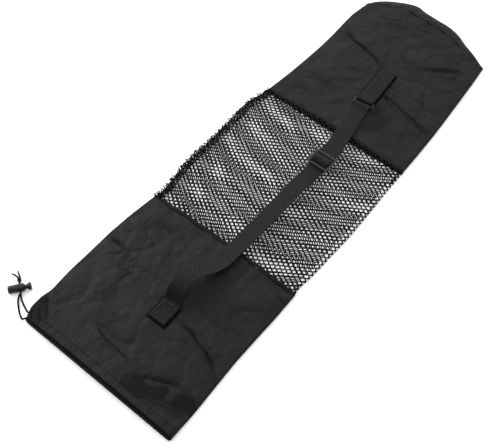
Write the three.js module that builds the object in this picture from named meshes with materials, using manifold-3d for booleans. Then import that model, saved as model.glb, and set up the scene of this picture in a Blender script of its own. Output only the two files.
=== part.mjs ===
// Yoga mat bag, empty and lying flat: two plain woven tubes with an open net tube between them,
// a round base pressed flat, a drawcord channel at the mouth and a webbing strap along the top.
// Millimetres, +Z up. X runs from the mouth edge to the closed end, +Y is the left side,
// and the underside lies on Z = 0. The origin ends under the middle of the bag.
import * as THREE from 'three';
import { mergeVertices } from 'three/addons/utils/BufferGeometryUtils.js';
import Module from 'manifold-3d';

const wasm = await Module();
wasm.setup();

// Bag body
const mouthPanelLength = 236;
const netPanelLength = 256;
const basePanelLength = 242;
const bagWidth = 240;
const bagHeight = 15.6;
const clothWall = 1.2;
const netWall = 1.2;
const baseReach = 50;
const baseSeamReach = 32;
const baseSide = 6;
const baseFoldWall = 3.2;
const seamRampStart = 0.35;
const flatRise = 0.83;
const flatEdge = 0.21;
const foldDepth = 2.6;
const foldWidth = 13;
const gap = 0.3;

// Drawcord and its channel
const cordDiameter = 2.4;
const channelWall = 1;
const channelLength = 13;
const channelStitching = 1.4;
const exitStart = 1.9;
const exitEnd = 11.3;
const exitHeight = 6;
const exitSpread = 3.1;

// Net
const netRows = 8;
const netCells = 6;
const netSeamBand = 5;
const netOpenEnds = 0.62;
const netOpenSides = 0.78;
const netTurns = [45];

// Strap and its fittings
const strapWidth = 25;
const strapThickness = 1.3;
const patchStart = 98.5;
const patchLength = 29;
const patchTuck = 2;
const archLength = 88;
const archHeight = 19;
const sliderToRing = 126.5;
const sliderLength = 27;
const barWidth = 3.5;
const middleBarWidth = 4;
const barThickness = 1.8;
const ringAfterSeam = 59.5;
const ringLength = 11;
const ringWire = 2.6;
const sideClearance = 0.8;
const tabLength = 77.5;
const tabSewnLength = 22;
const tabTaperLength = 20;
const loopTaper = 9;
const loopSag = 0.5;

// Cord lock
const lockRadius = 5.25;
const lockLength = 20;
const lockBore = 4.1;
const lockFloor = 2.4;
const plungerGap = 0.3;
const plungerTravel = 4;
const capRadius = 4.9;
const capLength = 4.4;
const neckRadius = 3;
const neckStep = 0.6;
const lockPlace = [26.9, 29.8, lockRadius];
const lockTurn = -37.4;
const lockHoleFromMouth = 5.2;

// Sections of each tube: along is a share of the panel's length, left and right are shares of
// half the bag's width, rise and edge are shares of the bag's height
const mouthSections = [
  { along: 0, left: 0.93, right: 1.015, rise: 1, edge: 0.37 },
  { along: 0.06, left: 0.99, right: 1.014, rise: 1, edge: 0.37 },
  { along: 0.09, left: 1.004, right: 1.013, rise: 0.93, edge: 0.29 },
  { along: 0.155, left: 1.014, right: 1.011, rise: flatRise, edge: flatEdge },
  { along: 0.21, left: 0.992, right: 1.009, rise: flatRise, edge: flatEdge },
  { along: 0.35, left: 1.015, right: 0.997, rise: flatRise, edge: flatEdge },
  { along: 0.51, left: 1.017, right: 0.984, rise: flatRise, edge: flatEdge },
  { along: 0.67, left: 1.025, right: 0.986, rise: flatRise, edge: flatEdge },
  { along: 0.83, left: 1.012, right: 0.992, rise: flatRise, edge: flatEdge },
  { along: 1, left: 0.982, right: 0.987, rise: flatRise, edge: flatEdge },
];
const netSections = [
  { along: 0, left: 0.982, right: 0.987, rise: flatRise, edge: flatEdge },
  { along: 0.064, left: 0.965, right: 0.973, rise: flatRise, edge: flatEdge },
  { along: 0.137, left: 0.979, right: 0.993, rise: flatRise, edge: flatEdge },
  { along: 0.21, left: 1.005, right: 1.002, rise: flatRise, edge: flatEdge },
  { along: 0.285, left: 1.033, right: 1.004, rise: flatRise, edge: flatEdge },
  { along: 0.434, left: 1.029, right: 1.016, rise: flatRise, edge: flatEdge },
  { along: 0.578, left: 1.035, right: 1.013, rise: flatRise, edge: flatEdge },
  { along: 0.727, left: 1.056, right: 1.003, rise: flatRise, edge: flatEdge },
  { along: 0.8, left: 1.068, right: 0.997, rise: flatRise, edge: flatEdge },
  { along: 0.875, left: 1.055, right: 0.993, rise: flatRise, edge: flatEdge },
  { along: 0.949, left: 1.008, right: 0.991, rise: flatRise, edge: flatEdge },
  { along: 1, left: 1.001, right: 0.985, rise: flatRise, edge: flatEdge },
];
const baseSections = [
  { along: 0, left: 1.001, right: 0.985, rise: flatRise, edge: flatEdge },
  { along: 0.18, left: 0.97, right: 0.978, rise: flatRise, edge: flatEdge },
  { along: 0.335, left: 0.956, right: 0.969, rise: flatRise, edge: flatEdge },
  { along: 0.49, left: 0.946, right: 0.952, rise: flatRise, edge: flatEdge },
  { along: 0.65, left: 0.951, right: 0.931, rise: 0.86, edge: flatEdge },
  { along: 0.8, left: 0.969, right: 0.91, rise: 0.9, edge: 0.22 },
  { along: 0.88, left: 0.974, right: 0.899, rise: 0.88, edge: 0.22 },
  { along: 1, left: 0.945, right: 0.875, rise: flatRise, edge: 0.22 },
];

// Outline of the pressed base: across is a share of the half width there, reach a share of baseReach
const baseOutline = [
  { across: -1, reach: 0 },
  { across: -0.96, reach: 0.05 },
  { across: -0.77, reach: 0.31 },
  { across: -0.56, reach: 0.53 },
  { across: -0.4, reach: 0.76 },
  { across: -0.2, reach: 0.89 },
  { across: 0.03, reach: 0.92 },
  { across: 0.21, reach: 0.95 },
  { across: 0.37, reach: 1.06 },
  { across: 0.53, reach: 0.94 },
  { across: 0.76, reach: 0.66 },
  { across: 0.94, reach: 0.32 },
  { across: 1, reach: 0 },
];

// Folds pressed into the top: each runs from one place to another, along as a share of the
// panel's length, side as a share of half the bag's width, deep and wide as shares of
// foldDepth and foldWidth
const mouthFolds = [
  { along: 0.14, side: -0.32, toAlong: 0.24, toSide: -0.9, deep: 1.1, wide: 1.1 },
  { along: 0.17, side: -0.12, toAlong: 0.22, toSide: 0.34, deep: 0.8, wide: 0.8 },
  { along: 0.5, side: -0.26, toAlong: 0.46, toSide: -0.69, deep: 0.8, wide: 0.9 },
  { along: 0.46, side: -0.69, toAlong: 0.38, toSide: -0.95, deep: 0.8, wide: 0.9 },
  { along: 0.52, side: -0.3, toAlong: 0.54, toSide: -0.57, deep: 0.5, wide: 0.8 },
  { along: 0.53, side: 0.67, toAlong: 0.55, toSide: 0.45, deep: 0.9, wide: 0.8 },
  { along: 0.64, side: 0.95, toAlong: 0.65, toSide: 0.79, deep: 0.9, wide: 0.9 },
  { along: 0.93, side: -0.82, toAlong: 0.94, toSide: -0.98, deep: 0.7, wide: 0.9 },
  { along: 0.87, side: 0.4, toAlong: 0.87, toSide: 0.85, deep: 0.5, wide: 1.2 },
  { along: 0.11, side: 0.84, toAlong: 0.25, toSide: 0.55, deep: 0.6, wide: 0.8 },
];
const baseFolds = [
  { along: 0.6, side: 0.2, toAlong: 0.65, toSide: 0.5, deep: 0.5, wide: 0.8 },
  { along: 0.65, side: 0.5, toAlong: 0.76, toSide: 0.9, deep: 0.8, wide: 0.8 },
  { along: 0.39, side: -0.28, toAlong: 0.33, toSide: -0.95, deep: 1, wide: 0.9 },
  { along: 0.88, side: 0.57, toAlong: 0.83, toSide: 0.4, deep: 0.7, wide: 0.8 },
  { along: 0.3, side: 0.35, toAlong: 0.33, toSide: 0.9, deep: 0.4, wide: 1.2 },
];

// Strap as seen from above: along is a share of the bag's side length, side a share of half the
// bag's width, and roll its tilt in degrees, with the right edge up below zero
const strapLine = [
  { along: 0, side: -0.104, roll: 0 },
  { along: 0.174, side: -0.104, roll: 0 },
  { along: 0.192, side: -0.075, roll: 2 },
  { along: 0.21, side: -0.063, roll: 0 },
  { along: 0.228, side: -0.075, roll: -5 },
  { along: 0.245, side: -0.12, roll: -10 },
  { along: 0.27, side: -0.175, roll: -14 },
  { along: 0.32, side: -0.188, roll: -12 },
  { along: 0.4, side: -0.197, roll: -10 },
  { along: 0.5, side: -0.195, roll: -7 },
  { along: 0.545, side: -0.204, roll: 0 },
  { along: 0.61, side: -0.196, roll: 0 },
  { along: 0.66, side: -0.158, roll: 0 },
  { along: 0.725, side: -0.086, roll: 0 },
  { along: 0.765, side: -0.058, roll: 0 },
  { along: 0.82, side: -0.036, roll: 0 },
  { along: 0.86, side: -0.014, roll: 0 },
  { along: 1, side: 0.01, roll: 0 },
];

// The arch where the strap stands off the mouth panel: along is a share of archLength,
// lift a share of archHeight
const strapArch = [
  { along: 0.03, lift: 0.05 },
  { along: 0.07, lift: 0.26 },
  { along: 0.12, lift: 0.52 },
  { along: 0.2, lift: 0.77 },
  { along: 0.3, lift: 0.93 },
  { along: 0.41, lift: 1 },
  { along: 0.52, lift: 0.95 },
  { along: 0.62, lift: 0.79 },
  { along: 0.72, lift: 0.55 },
  { along: 0.82, lift: 0.31 },
  { along: 0.91, lift: 0.12 },
  { along: 1, lift: 0.03 },
];

// The webbing's way through the slider: away is the distance from the slider's middle as a share
// of half its length
const sliderWay = [
  { away: -1.148, layer: 'low' },
  { away: -0.696, layer: 'low' },
  { away: -0.311, layer: 'over' },
  { away: 0.237, layer: 'over' },
  { away: 0.652, layer: 'high' },
  { away: 1.222, layer: 'high' },
];
const sliderReturn = [
  { away: 0.63, layer: 'low' },
  { away: 0.207, layer: 'underBar' },
];
const sliderTail = { away: 0.111, layer: 'roundBar' };

// The tab's upper layer, from the loop down to the lower layer: away is a share of
// tabTaperLength, rise a share of the drop from the top of the loop
const tabTaper = [
  { away: 0.3, rise: 0.69 },
  { away: 0.6, rise: 0.21 },
  { away: 1, rise: 0 },
];

// The drawcord's bends at the channel's unsewn end: ahead is from the end's middle along the bag,
// out and up are from the bag's side
const cordDrift = [0, 0.8, 1.8];
const upperBend = [
  { ahead: -1.2 - exitSpread, out: 3, up: -0.9 },
  { ahead: -exitSpread, out: -0.6, up: 0.4 },
];
const lowerBend = [
  { ahead: exitSpread, out: -0.6, up: -0.6 },
  { ahead: exitSpread + 0.6, out: 3, up: -1 },
];

// The drawcord's two free strands, from the channel to the lock, and their tips past the knot:
// distance from the mouth, distance out from half the bag's width, height
const upperStrand = [
  [-0.6, -3.1, 3.4],
  [1.2, 2.4, 2.2],
  [4.2, 7.9, 1.6],
  [8.4, 13.8, 1.5],
  [11.8, 18.2, 1.8],
  [15.8, 21.8, 2.6],
  [20, 24, 3.4],
];
const lowerStrand = [
  [10.6, 0.8, 3.6],
  [12.4, 6.3, 2.9],
  [14.4, 11.3, 3],
  [16.4, 15.6, 4],
  [18.8, 19.4, 5.3],
  [21.6, 22.6, 6.3],
];
const knotCentre = [33.7, 39.6, 3.3];
const knotRadius = 3.1;
const tips = [
  [[35.4, 43.2, 2.6], [36.3, 47.2, 1.6], [36.2, 50.8, 1.3], [35.2, 54, 1.3]],
  [[36.9, 41.6, 2.6], [38.8, 45, 1.6], [40.4, 48.4, 1.3], [42.4, 51.6, 1.3]],
];

const bagSideLength = mouthPanelLength + netPanelLength + basePanelLength;
const ringPlace = mouthPanelLength + netPanelLength + ringAfterSeam;
const sliderPlace = ringPlace - sliderToRing;
const tabEnd = ringPlace + tabLength;
const halfWidth = bagWidth / 2;
const channelDepth = 2 * channelWall + cordDiameter + 2 * gap;
const crownPower = 2.6;
const panelColumns = 12;
const flatColumns = 2;
const edgeTurns = [30, 60];
const rowPitch = 18;
const plasticBlack = new THREE.Color(0.035, 0.035, 0.037);

const panels = {
  mouth: { start: 0, length: mouthPanelLength, sections: mouthSections, folds: mouthFolds },
  net: { start: mouthPanelLength, length: netPanelLength, sections: netSections, folds: [] },
  base: {
    start: mouthPanelLength + netPanelLength,
    length: basePanelLength,
    sections: baseSections,
    folds: baseFolds,
    seamReach: baseSeamReach,
  },
};

function lookUp(table, key, value) {
  let index = 1;
  while (index < table.length - 1 && table[index][key] < value) {
    index += 1;
  }
  const before = table[index - 1];
  const after = table[index];
  const raw = (value - before[key]) / (after[key] - before[key]);
  const share = Math.min(Math.max(raw, 0), 1);
  const row = {};
  for (const column of Object.keys(before)) {
    row[column] = before[column] + share * (after[column] - before[column]);
  }
  return row;
}

// Depth of the folds at a place on the top of a panel
function foldsAt(panel, x, y) {
  let depth = 0;
  for (const fold of panel.folds) {
    const from = new THREE.Vector2(panel.start + fold.along * panel.length, fold.side * halfWidth);
    const to = new THREE.Vector2(panel.start + fold.toAlong * panel.length, fold.toSide * halfWidth);
    const run = to.clone().sub(from);
    const place = new THREE.Vector2(x, y).sub(from);
    const share = Math.min(Math.max(place.dot(run) / run.lengthSq(), 0), 1);
    const away = place.sub(run.multiplyScalar(share)).length();
    depth += fold.deep * foldDepth * Math.exp(-((away / (fold.wide * foldWidth)) ** 2));
  }
  return depth;
}

// A place on a panel's skin, so far in from the outside. A spot has across from -1 to 1 between
// the middles of the two rounded sides, turn in degrees round a side, and top or bottom layer.
function skinPoint(panel, along, spot, inset) {
  const section = lookUp(panel.sections, 'along', along);
  const point = sectionPoint(section, spot, inset, 1);
  point.x = panel.start + along * panel.length;
  if (panel.seamReach) {
    const ramp = Math.max(0, (along - seamRampStart) / (1 - seamRampStart)) ** 2;
    point.x += ramp * panel.seamReach * baseReachAt(section, point.y);
  }
  if (spot.top) {
    point.z -= foldsAt(panel, point.x, point.y) * (1 - spot.across ** 4);
  }
  return point;
}

// A section's own shape: two flat layers joined by rounded sides, the top one crowned
function sectionPoint(section, spot, inset, closing) {
  const edge = section.edge * bagHeight;
  const half = (section.left + section.right) * halfWidth / 2;
  const turn = THREE.MathUtils.degToRad(spot.turn);
  const round = edge - inset;
  const y = spot.across * (half - edge) + Math.sign(spot.across) * round * Math.sin(turn);
  const crown = (section.rise * bagHeight - 2 * edge) * (1 - Math.abs(spot.across) ** crownPower);
  const up = round * Math.cos(turn) * closing;
  const z = spot.top ? edge + up + crown * closing : edge - up;
  return new THREE.Vector3(0, (section.left - section.right) * halfWidth / 2 + y, z);
}

function baseReachAt(section, y) {
  const middle = (section.left - section.right) * halfWidth / 2;
  const half = (section.left + section.right) * halfWidth / 2;
  return lookUp(baseOutline, 'across', (y - middle) / half).reach;
}

// A place on the pressed base, from its seam to its fold
function discPoint(along, spot, inset) {
  const section = baseSections[baseSections.length - 1];
  const point = sectionPoint(section, spot, inset, Math.sqrt(Math.max(0, 1 - along ** 2)));
  const reach = baseReachAt(section, point.y);
  const seam = bagSideLength + gap + reach * baseSeamReach;
  const fold = inset > 0 ? baseFoldWall : 0;
  const end = bagSideLength + baseSide - fold + reach * baseReach;
  point.x = seam + along * (end - seam);
  return point;
}

// The spots once round a tube: over the top from right to left, then back along the bottom
function spotsRound(topSteps, bottomSteps, turns = edgeTurns) {
  const side = (across, top, order) => order.map((turn) => ({ across, turn, top }));
  const layer = (from, to, steps, top) => {
    const row = [];
    for (let step = 0; step <= steps; step += 1) {
      row.push({ across: from + (to - from) * step / steps, turn: 0, top });
    }
    return row;
  };
  const rolled = turns.slice().reverse();
  return [
    ...side(-1, true, [90, ...rolled]),
    ...layer(-1, 1, topSteps, true),
    ...side(1, true, [...turns, 90]),
    ...side(1, false, rolled),
    ...layer(1, -1, bottomSteps, false),
    ...side(-1, false, turns),
  ];
}

// A triangle mesh from a list of corners, three to a triangle, turned so that it faces out
function closedGeometry(corners) {
  const soup = new THREE.BufferGeometry();
  soup.setAttribute('position', new THREE.Float32BufferAttribute(corners.flatMap((p) => [p.x, p.y, p.z]), 3));
  const merged = mergeVertices(soup, 1e-4);
  const index = merged.getIndex().array;
  const kept = [];
  for (let corner = 0; corner < index.length; corner += 3) {
    const [a, b, c] = [index[corner], index[corner + 1], index[corner + 2]];
    if (a !== b && b !== c && c !== a) {
      kept.push(a, b, c);
    }
  }
  merged.setIndex(kept);
  return merged;
}

function addQuad(corners, a, b, c, d) {
  corners.push(a, b, c, a, c, d);
}

// A closed solid through rings of places, its ends flat unless the last ring is pressed shut
function loft(rings, shutEnd = false) {
  const corners = [];
  const count = rings[0].length;
  for (let row = 0; row < rings.length - 1; row += 1) {
    for (let place = 0; place < count; place += 1) {
      const next = (place + 1) % count;
      addQuad(corners, rings[row][place], rings[row + 1][place], rings[row + 1][next], rings[row][next]);
    }
  }
  addCap(corners, rings[0], -1);
  if (!shutEnd) {
    addCap(corners, rings[rings.length - 1], 1);
  }
  return closedGeometry(corners);
}

// The end of a loft, seen along X, facing back or forward
function addCap(corners, ring, facing) {
  const outline = ring.map((p) => new THREE.Vector2(p.y, p.z));
  for (const [a, b, c] of THREE.ShapeUtils.triangulateShape(outline, [])) {
    const ahead = outline[b].clone().sub(outline[a]).cross(outline[c].clone().sub(outline[a])) > 0;
    if (ahead === facing > 0) {
      corners.push(ring[a], ring[b], ring[c]);
    } else {
      corners.push(ring[a], ring[c], ring[b]);
    }
  }
}

function solidOf(geometry) {
  const bare = geometry.clone();
  bare.deleteAttribute('normal');
  bare.deleteAttribute('uv');
  const merged = mergeVertices(bare, 1e-4);
  return new wasm.Manifold(new wasm.Mesh({
    numProp: 3,
    vertProperties: new Float32Array(merged.getAttribute('position').array),
    triVerts: new Uint32Array(merged.getIndex().array),
  }));
}

function geometryOf(solid) {
  const mesh = solid.getMesh();
  const geometry = new THREE.BufferGeometry();
  geometry.setAttribute('position', new THREE.BufferAttribute(new Float32Array(mesh.vertProperties), 3));
  geometry.setIndex(Array.from(mesh.triVerts));
  geometry.computeVertexNormals();
  return geometry;
}

function namedMesh(name, geometry, color, roughness, metalness = 0) {
  const mesh = new THREE.Mesh(geometry, new THREE.MeshStandardMaterial({ color, roughness, metalness }));
  mesh.name = name;
  return mesh;
}

// The solid between two skins of a panel, over a stretch of its length
function panelTube(panel, from, to, outside, inside, spots = spotsRound(panelColumns, flatColumns)) {
  const rows = Math.max(1, Math.round((to - from) * panel.length / rowPitch));
  const places = Array.from({ length: rows + 1 }, (_, row) => from + (to - from) * row / rows);
  const past = (panel.seamReach ? panel.seamReach / 2 : gap) / panel.length;
  const skin = (alongs, inset, spotList) => solidOf(loft(alongs.map((along) => (
    spotList.map((spot) => skinPoint(panel, along, spot, inset))
  ))));
  const within = spotsRound(panelColumns, flatColumns);
  return skin(places, outside, spots).subtract(skin([from - past, ...places, to + past], inside, within));
}

const leftSide = { across: 1, turn: 90, top: true };

// Mouth panel: a cloth tube whose open edge is folded in to make the drawcord's channel
function mouthPanel() {
  const panel = panels.mouth;
  const share = (length) => length / panel.length;
  let solid = panelTube(panel, 0, 1 - share(gap / 2), 0, clothWall);
  solid = solid.add(panelTube(panel, 0, share(channelLength), 0, channelDepth));
  const skin = (from, to, inset) => solidOf(loft([from, to].map((x) => (
    spotsRound(panelColumns, flatColumns).map((spot) => skinPoint(panel, share(x), spot, inset))
  ))));
  const roomEnd = channelLength - channelStitching;
  const lining = skin(channelWall - gap, roomEnd + gap, channelDepth - channelWall);
  const room = skin(channelWall, roomEnd, channelWall).subtract(lining);
  return solid.subtract(room).subtract(cordExit());
}

// The unsewn end of the channel at the left corner
function cordExit() {
  const depth = channelDepth - channelWall;
  const start = skinPoint(panels.mouth, exitStart / mouthPanelLength, leftSide, depth);
  const end = skinPoint(panels.mouth, exitEnd / mouthPanelLength, leftSide, depth);
  const past = 2 * channelDepth;
  const outline = new THREE.Shape([
    new THREE.Vector2(start.x, start.y + gap),
    new THREE.Vector2(end.x, end.y + gap),
    new THREE.Vector2(end.x, end.y + past),
    new THREE.Vector2(start.x, start.y + past),
  ]);
  const cut = new THREE.ExtrudeGeometry(outline, { depth: exitHeight, bevelEnabled: false });
  cut.translate(0, 0, start.z - exitHeight / 2);
  return solidOf(cut);
}

// Net panel: six-sided openings in staggered rows on both layers, with solid bands at the seams
// and along the folded sides
function netPanel() {
  const panel = panels.net;
  const corners = [];
  const halfCells = 2 * netCells;
  const band = netSeamBand / panel.length;
  const endGap = gap / 2 / panel.length;
  const alongAt = (step) => band + (1 - 2 * band) * step / halfCells;
  const point = (place, inset) => skinPoint(panel, place.along, place.spot, inset);

  function wall(a, b, c, d) {
    addQuad(corners, point(a, 0), point(b, 0), point(c, 0), point(d, 0));
    addQuad(corners, point(d, netWall), point(c, netWall), point(b, netWall), point(a, netWall));
  }

  function edgeWall(a, b) {
    addQuad(corners, point(a, 0), point(b, 0), point(b, netWall), point(a, netWall));
  }

  function cell(outer) {
    const middleAlong = (outer[0].along + outer[2].along) / 2;
    const middleAcross = (outer[0].spot.across + outer[3].spot.across) / 2;
    const hole = outer.map((place, corner) => {
      const open = corner % 3 === 1 ? netOpenSides : netOpenEnds;
      const across = middleAcross + open * (place.spot.across - middleAcross);
      return {
        along: middleAlong + open * (place.along - middleAlong),
        spot: { across, turn: 0, top: place.spot.top },
      };
    });
    for (let side = 0; side < outer.length; side += 1) {
      const next = (side + 1) % outer.length;
      wall(outer[side], outer[next], hole[next], hole[side]);
      edgeWall(hole[side], hole[next]);
    }
  }

  function strip(from, to, first) {
    const at = (step, spot) => ({ along: alongAt(step), spot });
    const plain = (step) => wall(at(step, from), at(step + 1, from), at(step + 1, to), at(step, to));
    if (first) {
      plain(0);
      plain(halfCells - 1);
    }
    for (let step = first; step + 2 <= halfCells; step += 2) {
      cell([
        at(step, from),
        at(step + 1, from),
        at(step + 2, from),
        at(step + 2, to),
        at(step + 1, to),
        at(step, to),
      ]);
    }
  }

  const round = spotsRound(netRows, netRows, netTurns);
  round.forEach((spot, index) => {
    const next = round[(index + 1) % round.length];
    const at = (along, place) => ({ along, spot: place });
    if (spot.turn === 0 && next.turn === 0) {
      const row = spot.top ? (1 + spot.across) * netRows / 2 : (1 + next.across) * netRows / 2;
      strip(spot, next, Math.round(row) % 2);
    } else {
      for (let step = 0; step < halfCells; step += 1) {
        const from = alongAt(step);
        const to = alongAt(step + 1);
        wall(at(from, spot), at(to, spot), at(to, next), at(from, next));
      }
    }
    wall(at(endGap, spot), at(band, spot), at(band, next), at(endGap, next));
    wall(at(1 - band, spot), at(1 - endGap, spot), at(1 - endGap, next), at(1 - band, next));
    edgeWall(at(endGap, spot), at(endGap, next));
    edgeWall(at(1 - endGap, next), at(1 - endGap, spot));
  });
  return solidOf(closedGeometry(corners));
}

function basePanel() {
  const round = spotsRound(panelColumns, panelColumns);
  return panelTube(panels.base, gap / 2 / basePanelLength, 1, 0, clothWall, round);
}

// The round base, pressed flat: open towards the bag and folded shut at the far end
function baseDisc() {
  const rows = [0, 0.4, 0.7, 0.88, 0.97, 1];
  const round = spotsRound(panelColumns, panelColumns);
  const skin = (inset, extra) => solidOf(loft(rows.map((along) => round.map((spot) => {
    const place = discPoint(along, spot, inset);
    place.x -= along === 0 ? extra : 0;
    return place;
  })), true));
  return skin(0, 0).subtract(skin(clothWall, baseSide));
}

// Strap
const strapBed = flatRise * bagHeight;
const layerLow = gap + strapThickness / 2;
const layerHigh = layerLow + strapThickness + gap;
const foldRadius = (layerHigh - layerLow) / 2;
const barHeight = layerHigh + strapThickness / 2 + gap + barThickness / 2;
const wrapRadius = barThickness / 2 + gap + strapThickness / 2;
const overHeight = barHeight + wrapRadius + strapThickness + gap;
const ringHeight = layerLow + strapThickness / 2 + gap + ringWire / 2;
const ringWrap = ringWire / 2 + gap + strapThickness / 2;
const ringBarOffset = (ringLength - ringWire) / 2;
const layers = {
  low: layerLow,
  high: layerHigh,
  over: overHeight,
  underBar: barHeight - wrapRadius,
  roundBar: barHeight + wrapRadius,
};

function strapSpot(x) {
  const row = lookUp(strapLine, 'along', x / bagSideLength);
  return { side: row.side * halfWidth, roll: row.roll };
}

function smoothSide(x) {
  const reach = 12;
  const steps = [-1, -0.5, 0, 0.5, 1];
  const total = steps.reduce((sum, step) => sum + strapSpot(x + step * reach).side, 0);
  return total / steps.length;
}

function strapHeading(x) {
  const reach = 4;
  return (smoothSide(x + reach) - smoothSide(x - reach)) / (2 * reach);
}

// Lift of the strap's middle where its lower edge rests on the bag
function restingLift(x) {
  const tilt = Math.abs(Math.sin(THREE.MathUtils.degToRad(strapSpot(x).roll)));
  return layerLow + tilt * strapWidth / 2;
}

// Points of a half turn in the plane of the strap's run, from one angle to another
function halfTurn(x, lift, radius, from, to) {
  const points = [];
  const steps = 5;
  for (let step = 0; step <= steps; step += 1) {
    const angle = THREE.MathUtils.degToRad(from + (to - from) * step / steps);
    points.push([x + radius * Math.cos(angle), lift + radius * Math.sin(angle)]);
  }
  return points;
}

// The strap's run as pairs of place along the bag and lift over it
function strapRun() {
  const patchEnd = patchStart + patchLength;
  const run = [[patchEnd - patchTuck, layerLow]];
  run.push(...halfTurn(patchStart + foldRadius, (layerLow + layerHigh) / 2, foldRadius, 270, 90));
  run.push([patchStart + patchLength / 2, layerHigh], [patchEnd, layerHigh]);
  for (const row of strapArch) {
    const x = patchEnd + row.along * archLength;
    run.push([x, Math.max(layerHigh + row.lift * archHeight, restingLift(x))]);
  }
  const archEnd = patchEnd + archLength;
  const flatEnd = sliderPlace - sliderLength;
  const flatSteps = 8;
  for (let step = 1; step <= flatSteps; step += 1) {
    const x = archEnd + (flatEnd - archEnd) * step / flatSteps;
    run.push([x, restingLift(x)]);
  }
  const atSlider = (row) => [sliderPlace + row.away * sliderLength / 2, layers[row.layer]];
  run.push(...sliderWay.map(atSlider));
  const nearBar = ringPlace - ringBarOffset;
  const between = 6;
  const upperStart = sliderPlace + sliderLength;
  const upperEnd = nearBar - loopTaper;
  for (let step = 0; step <= between; step += 1) {
    run.push([upperStart + (upperEnd - upperStart) * step / between, layerHigh]);
  }
  run.push([nearBar - loopTaper / 2, ringHeight + ringWrap - loopSag]);
  run.push(...halfTurn(nearBar, ringHeight, ringWrap, 90, -90));
  for (let step = between; step >= 0; step -= 1) {
    run.push([upperStart + (upperEnd - upperStart) * step / between, layerLow]);
  }
  run.push(...sliderReturn.map(atSlider));
  run.push(...halfTurn(sliderPlace - middleBarWidth / 2, barHeight, wrapRadius, 270, 90));
  run.push(atSlider(sliderTail));
  return run;
}

// A flat band swept along a run of places and lifts
function band(run) {
  const sharpestLean = 0.7;
  const stations = run.map(([x, lift]) => new THREE.Vector3(x, smoothSide(x), strapBed + lift));
  const corners = [];
  const rings = stations.map((station, index) => {
    const before = stations[Math.max(0, index - 1)];
    const after = stations[Math.min(stations.length - 1, index + 1)];
    const inward = station.clone().sub(before).normalize();
    const outward = after.clone().sub(station).normalize();
    const ahead = inward.clone().add(outward).normalize();
    const heading = Math.atan(strapHeading(station.x));
    const tilt = THREE.MathUtils.degToRad(strapSpot(station.x).roll);
    const wide = new THREE.Vector3(
      -Math.sin(heading) * Math.cos(tilt),
      Math.cos(heading) * Math.cos(tilt),
      Math.sin(tilt),
    );
    const lean = index > 0 && index < stations.length - 1 ? Math.max(sharpestLean, ahead.dot(outward)) : 1;
    const up = new THREE.Vector3().crossVectors(ahead, wide).normalize();
    wide.multiplyScalar(strapWidth / 2);
    up.multiplyScalar(strapThickness / 2 / lean);
    return [
      station.clone().add(wide).add(up),
      station.clone().sub(wide).add(up),
      station.clone().sub(wide).sub(up),
      station.clone().add(wide).sub(up),
    ];
  });
  for (let row = 0; row < rings.length - 1; row += 1) {
    for (let corner = 0; corner < 4; corner += 1) {
      const next = (corner + 1) % 4;
      addQuad(corners, rings[row][corner], rings[row][next], rings[row + 1][next], rings[row + 1][corner]);
    }
  }
  const first = rings[0];
  const last = rings[rings.length - 1];
  addQuad(corners, first[3], first[2], first[1], first[0]);
  addQuad(corners, last[0], last[1], last[2], last[3]);
  return solidOf(closedGeometry(corners));
}

// The tab: webbing folded round the loop's far bar and sewn down on the base panel
function ringTab() {
  const farBar = ringPlace + ringBarOffset;
  const drop = ringHeight + ringWrap - layerHigh;
  const tapered = tabTaper.map((row) => [farBar + row.away * tabTaperLength, row.rise * drop]);
  const run = [[tabEnd, layerLow], [tabEnd - tabSewnLength, layerLow]];
  run.push(...tapered.slice().reverse().map(([x]) => [x, layerLow]));
  run.push(...halfTurn(farBar, ringHeight, ringWrap, 270, 90));
  run.push(...tapered.map(([x, rise]) => [x, layerHigh + rise]));
  run.push([tabEnd - tabSewnLength, layerHigh], [tabEnd, layerHigh]);
  return band(run);
}

function roundedFrame(length, width, radius) {
  const shape = new THREE.Shape();
  const x = length / 2;
  const y = width / 2;
  shape.moveTo(-x + radius, -y);
  shape.lineTo(x - radius, -y);
  shape.absarc(x - radius, -y + radius, radius, -Math.PI / 2, 0);
  shape.lineTo(x, y - radius);
  shape.absarc(x - radius, y - radius, radius, 0, Math.PI / 2);
  shape.lineTo(-x + radius, y);
  shape.absarc(-x + radius, y - radius, radius, Math.PI / 2, Math.PI);
  shape.lineTo(-x, -y + radius);
  shape.absarc(-x + radius, -y + radius, radius, Math.PI, 1.5 * Math.PI);
  return shape;
}

// Moves a fitting to its place on the strap
function seatOnStrap(geometry, x, lift) {
  geometry.rotateZ(Math.atan(strapHeading(x)));
  geometry.translate(x, smoothSide(x), strapBed + lift);
  return geometry;
}

function strapSlider() {
  const opening = strapWidth + 2 * sideClearance;
  const cornerRadius = 3;
  const windowRadius = 0.6;
  const outline = roundedFrame(sliderLength, opening + 2 * barWidth, cornerRadius);
  const slot = sliderLength / 2 - barWidth - middleBarWidth / 2;
  for (const side of [-1, 1]) {
    const window = roundedFrame(slot, opening, windowRadius);
    const shift = side * (middleBarWidth + slot) / 2;
    outline.holes.push(new THREE.Path(window.getPoints(1).map((p) => new THREE.Vector2(p.x + shift, p.y))));
  }
  const frame = new THREE.ExtrudeGeometry(outline, {
    depth: barThickness,
    bevelEnabled: false,
    curveSegments: 3,
  });
  frame.translate(0, 0, -barThickness / 2);
  return solidOf(seatOnStrap(frame, sliderPlace, barHeight));
}

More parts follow.
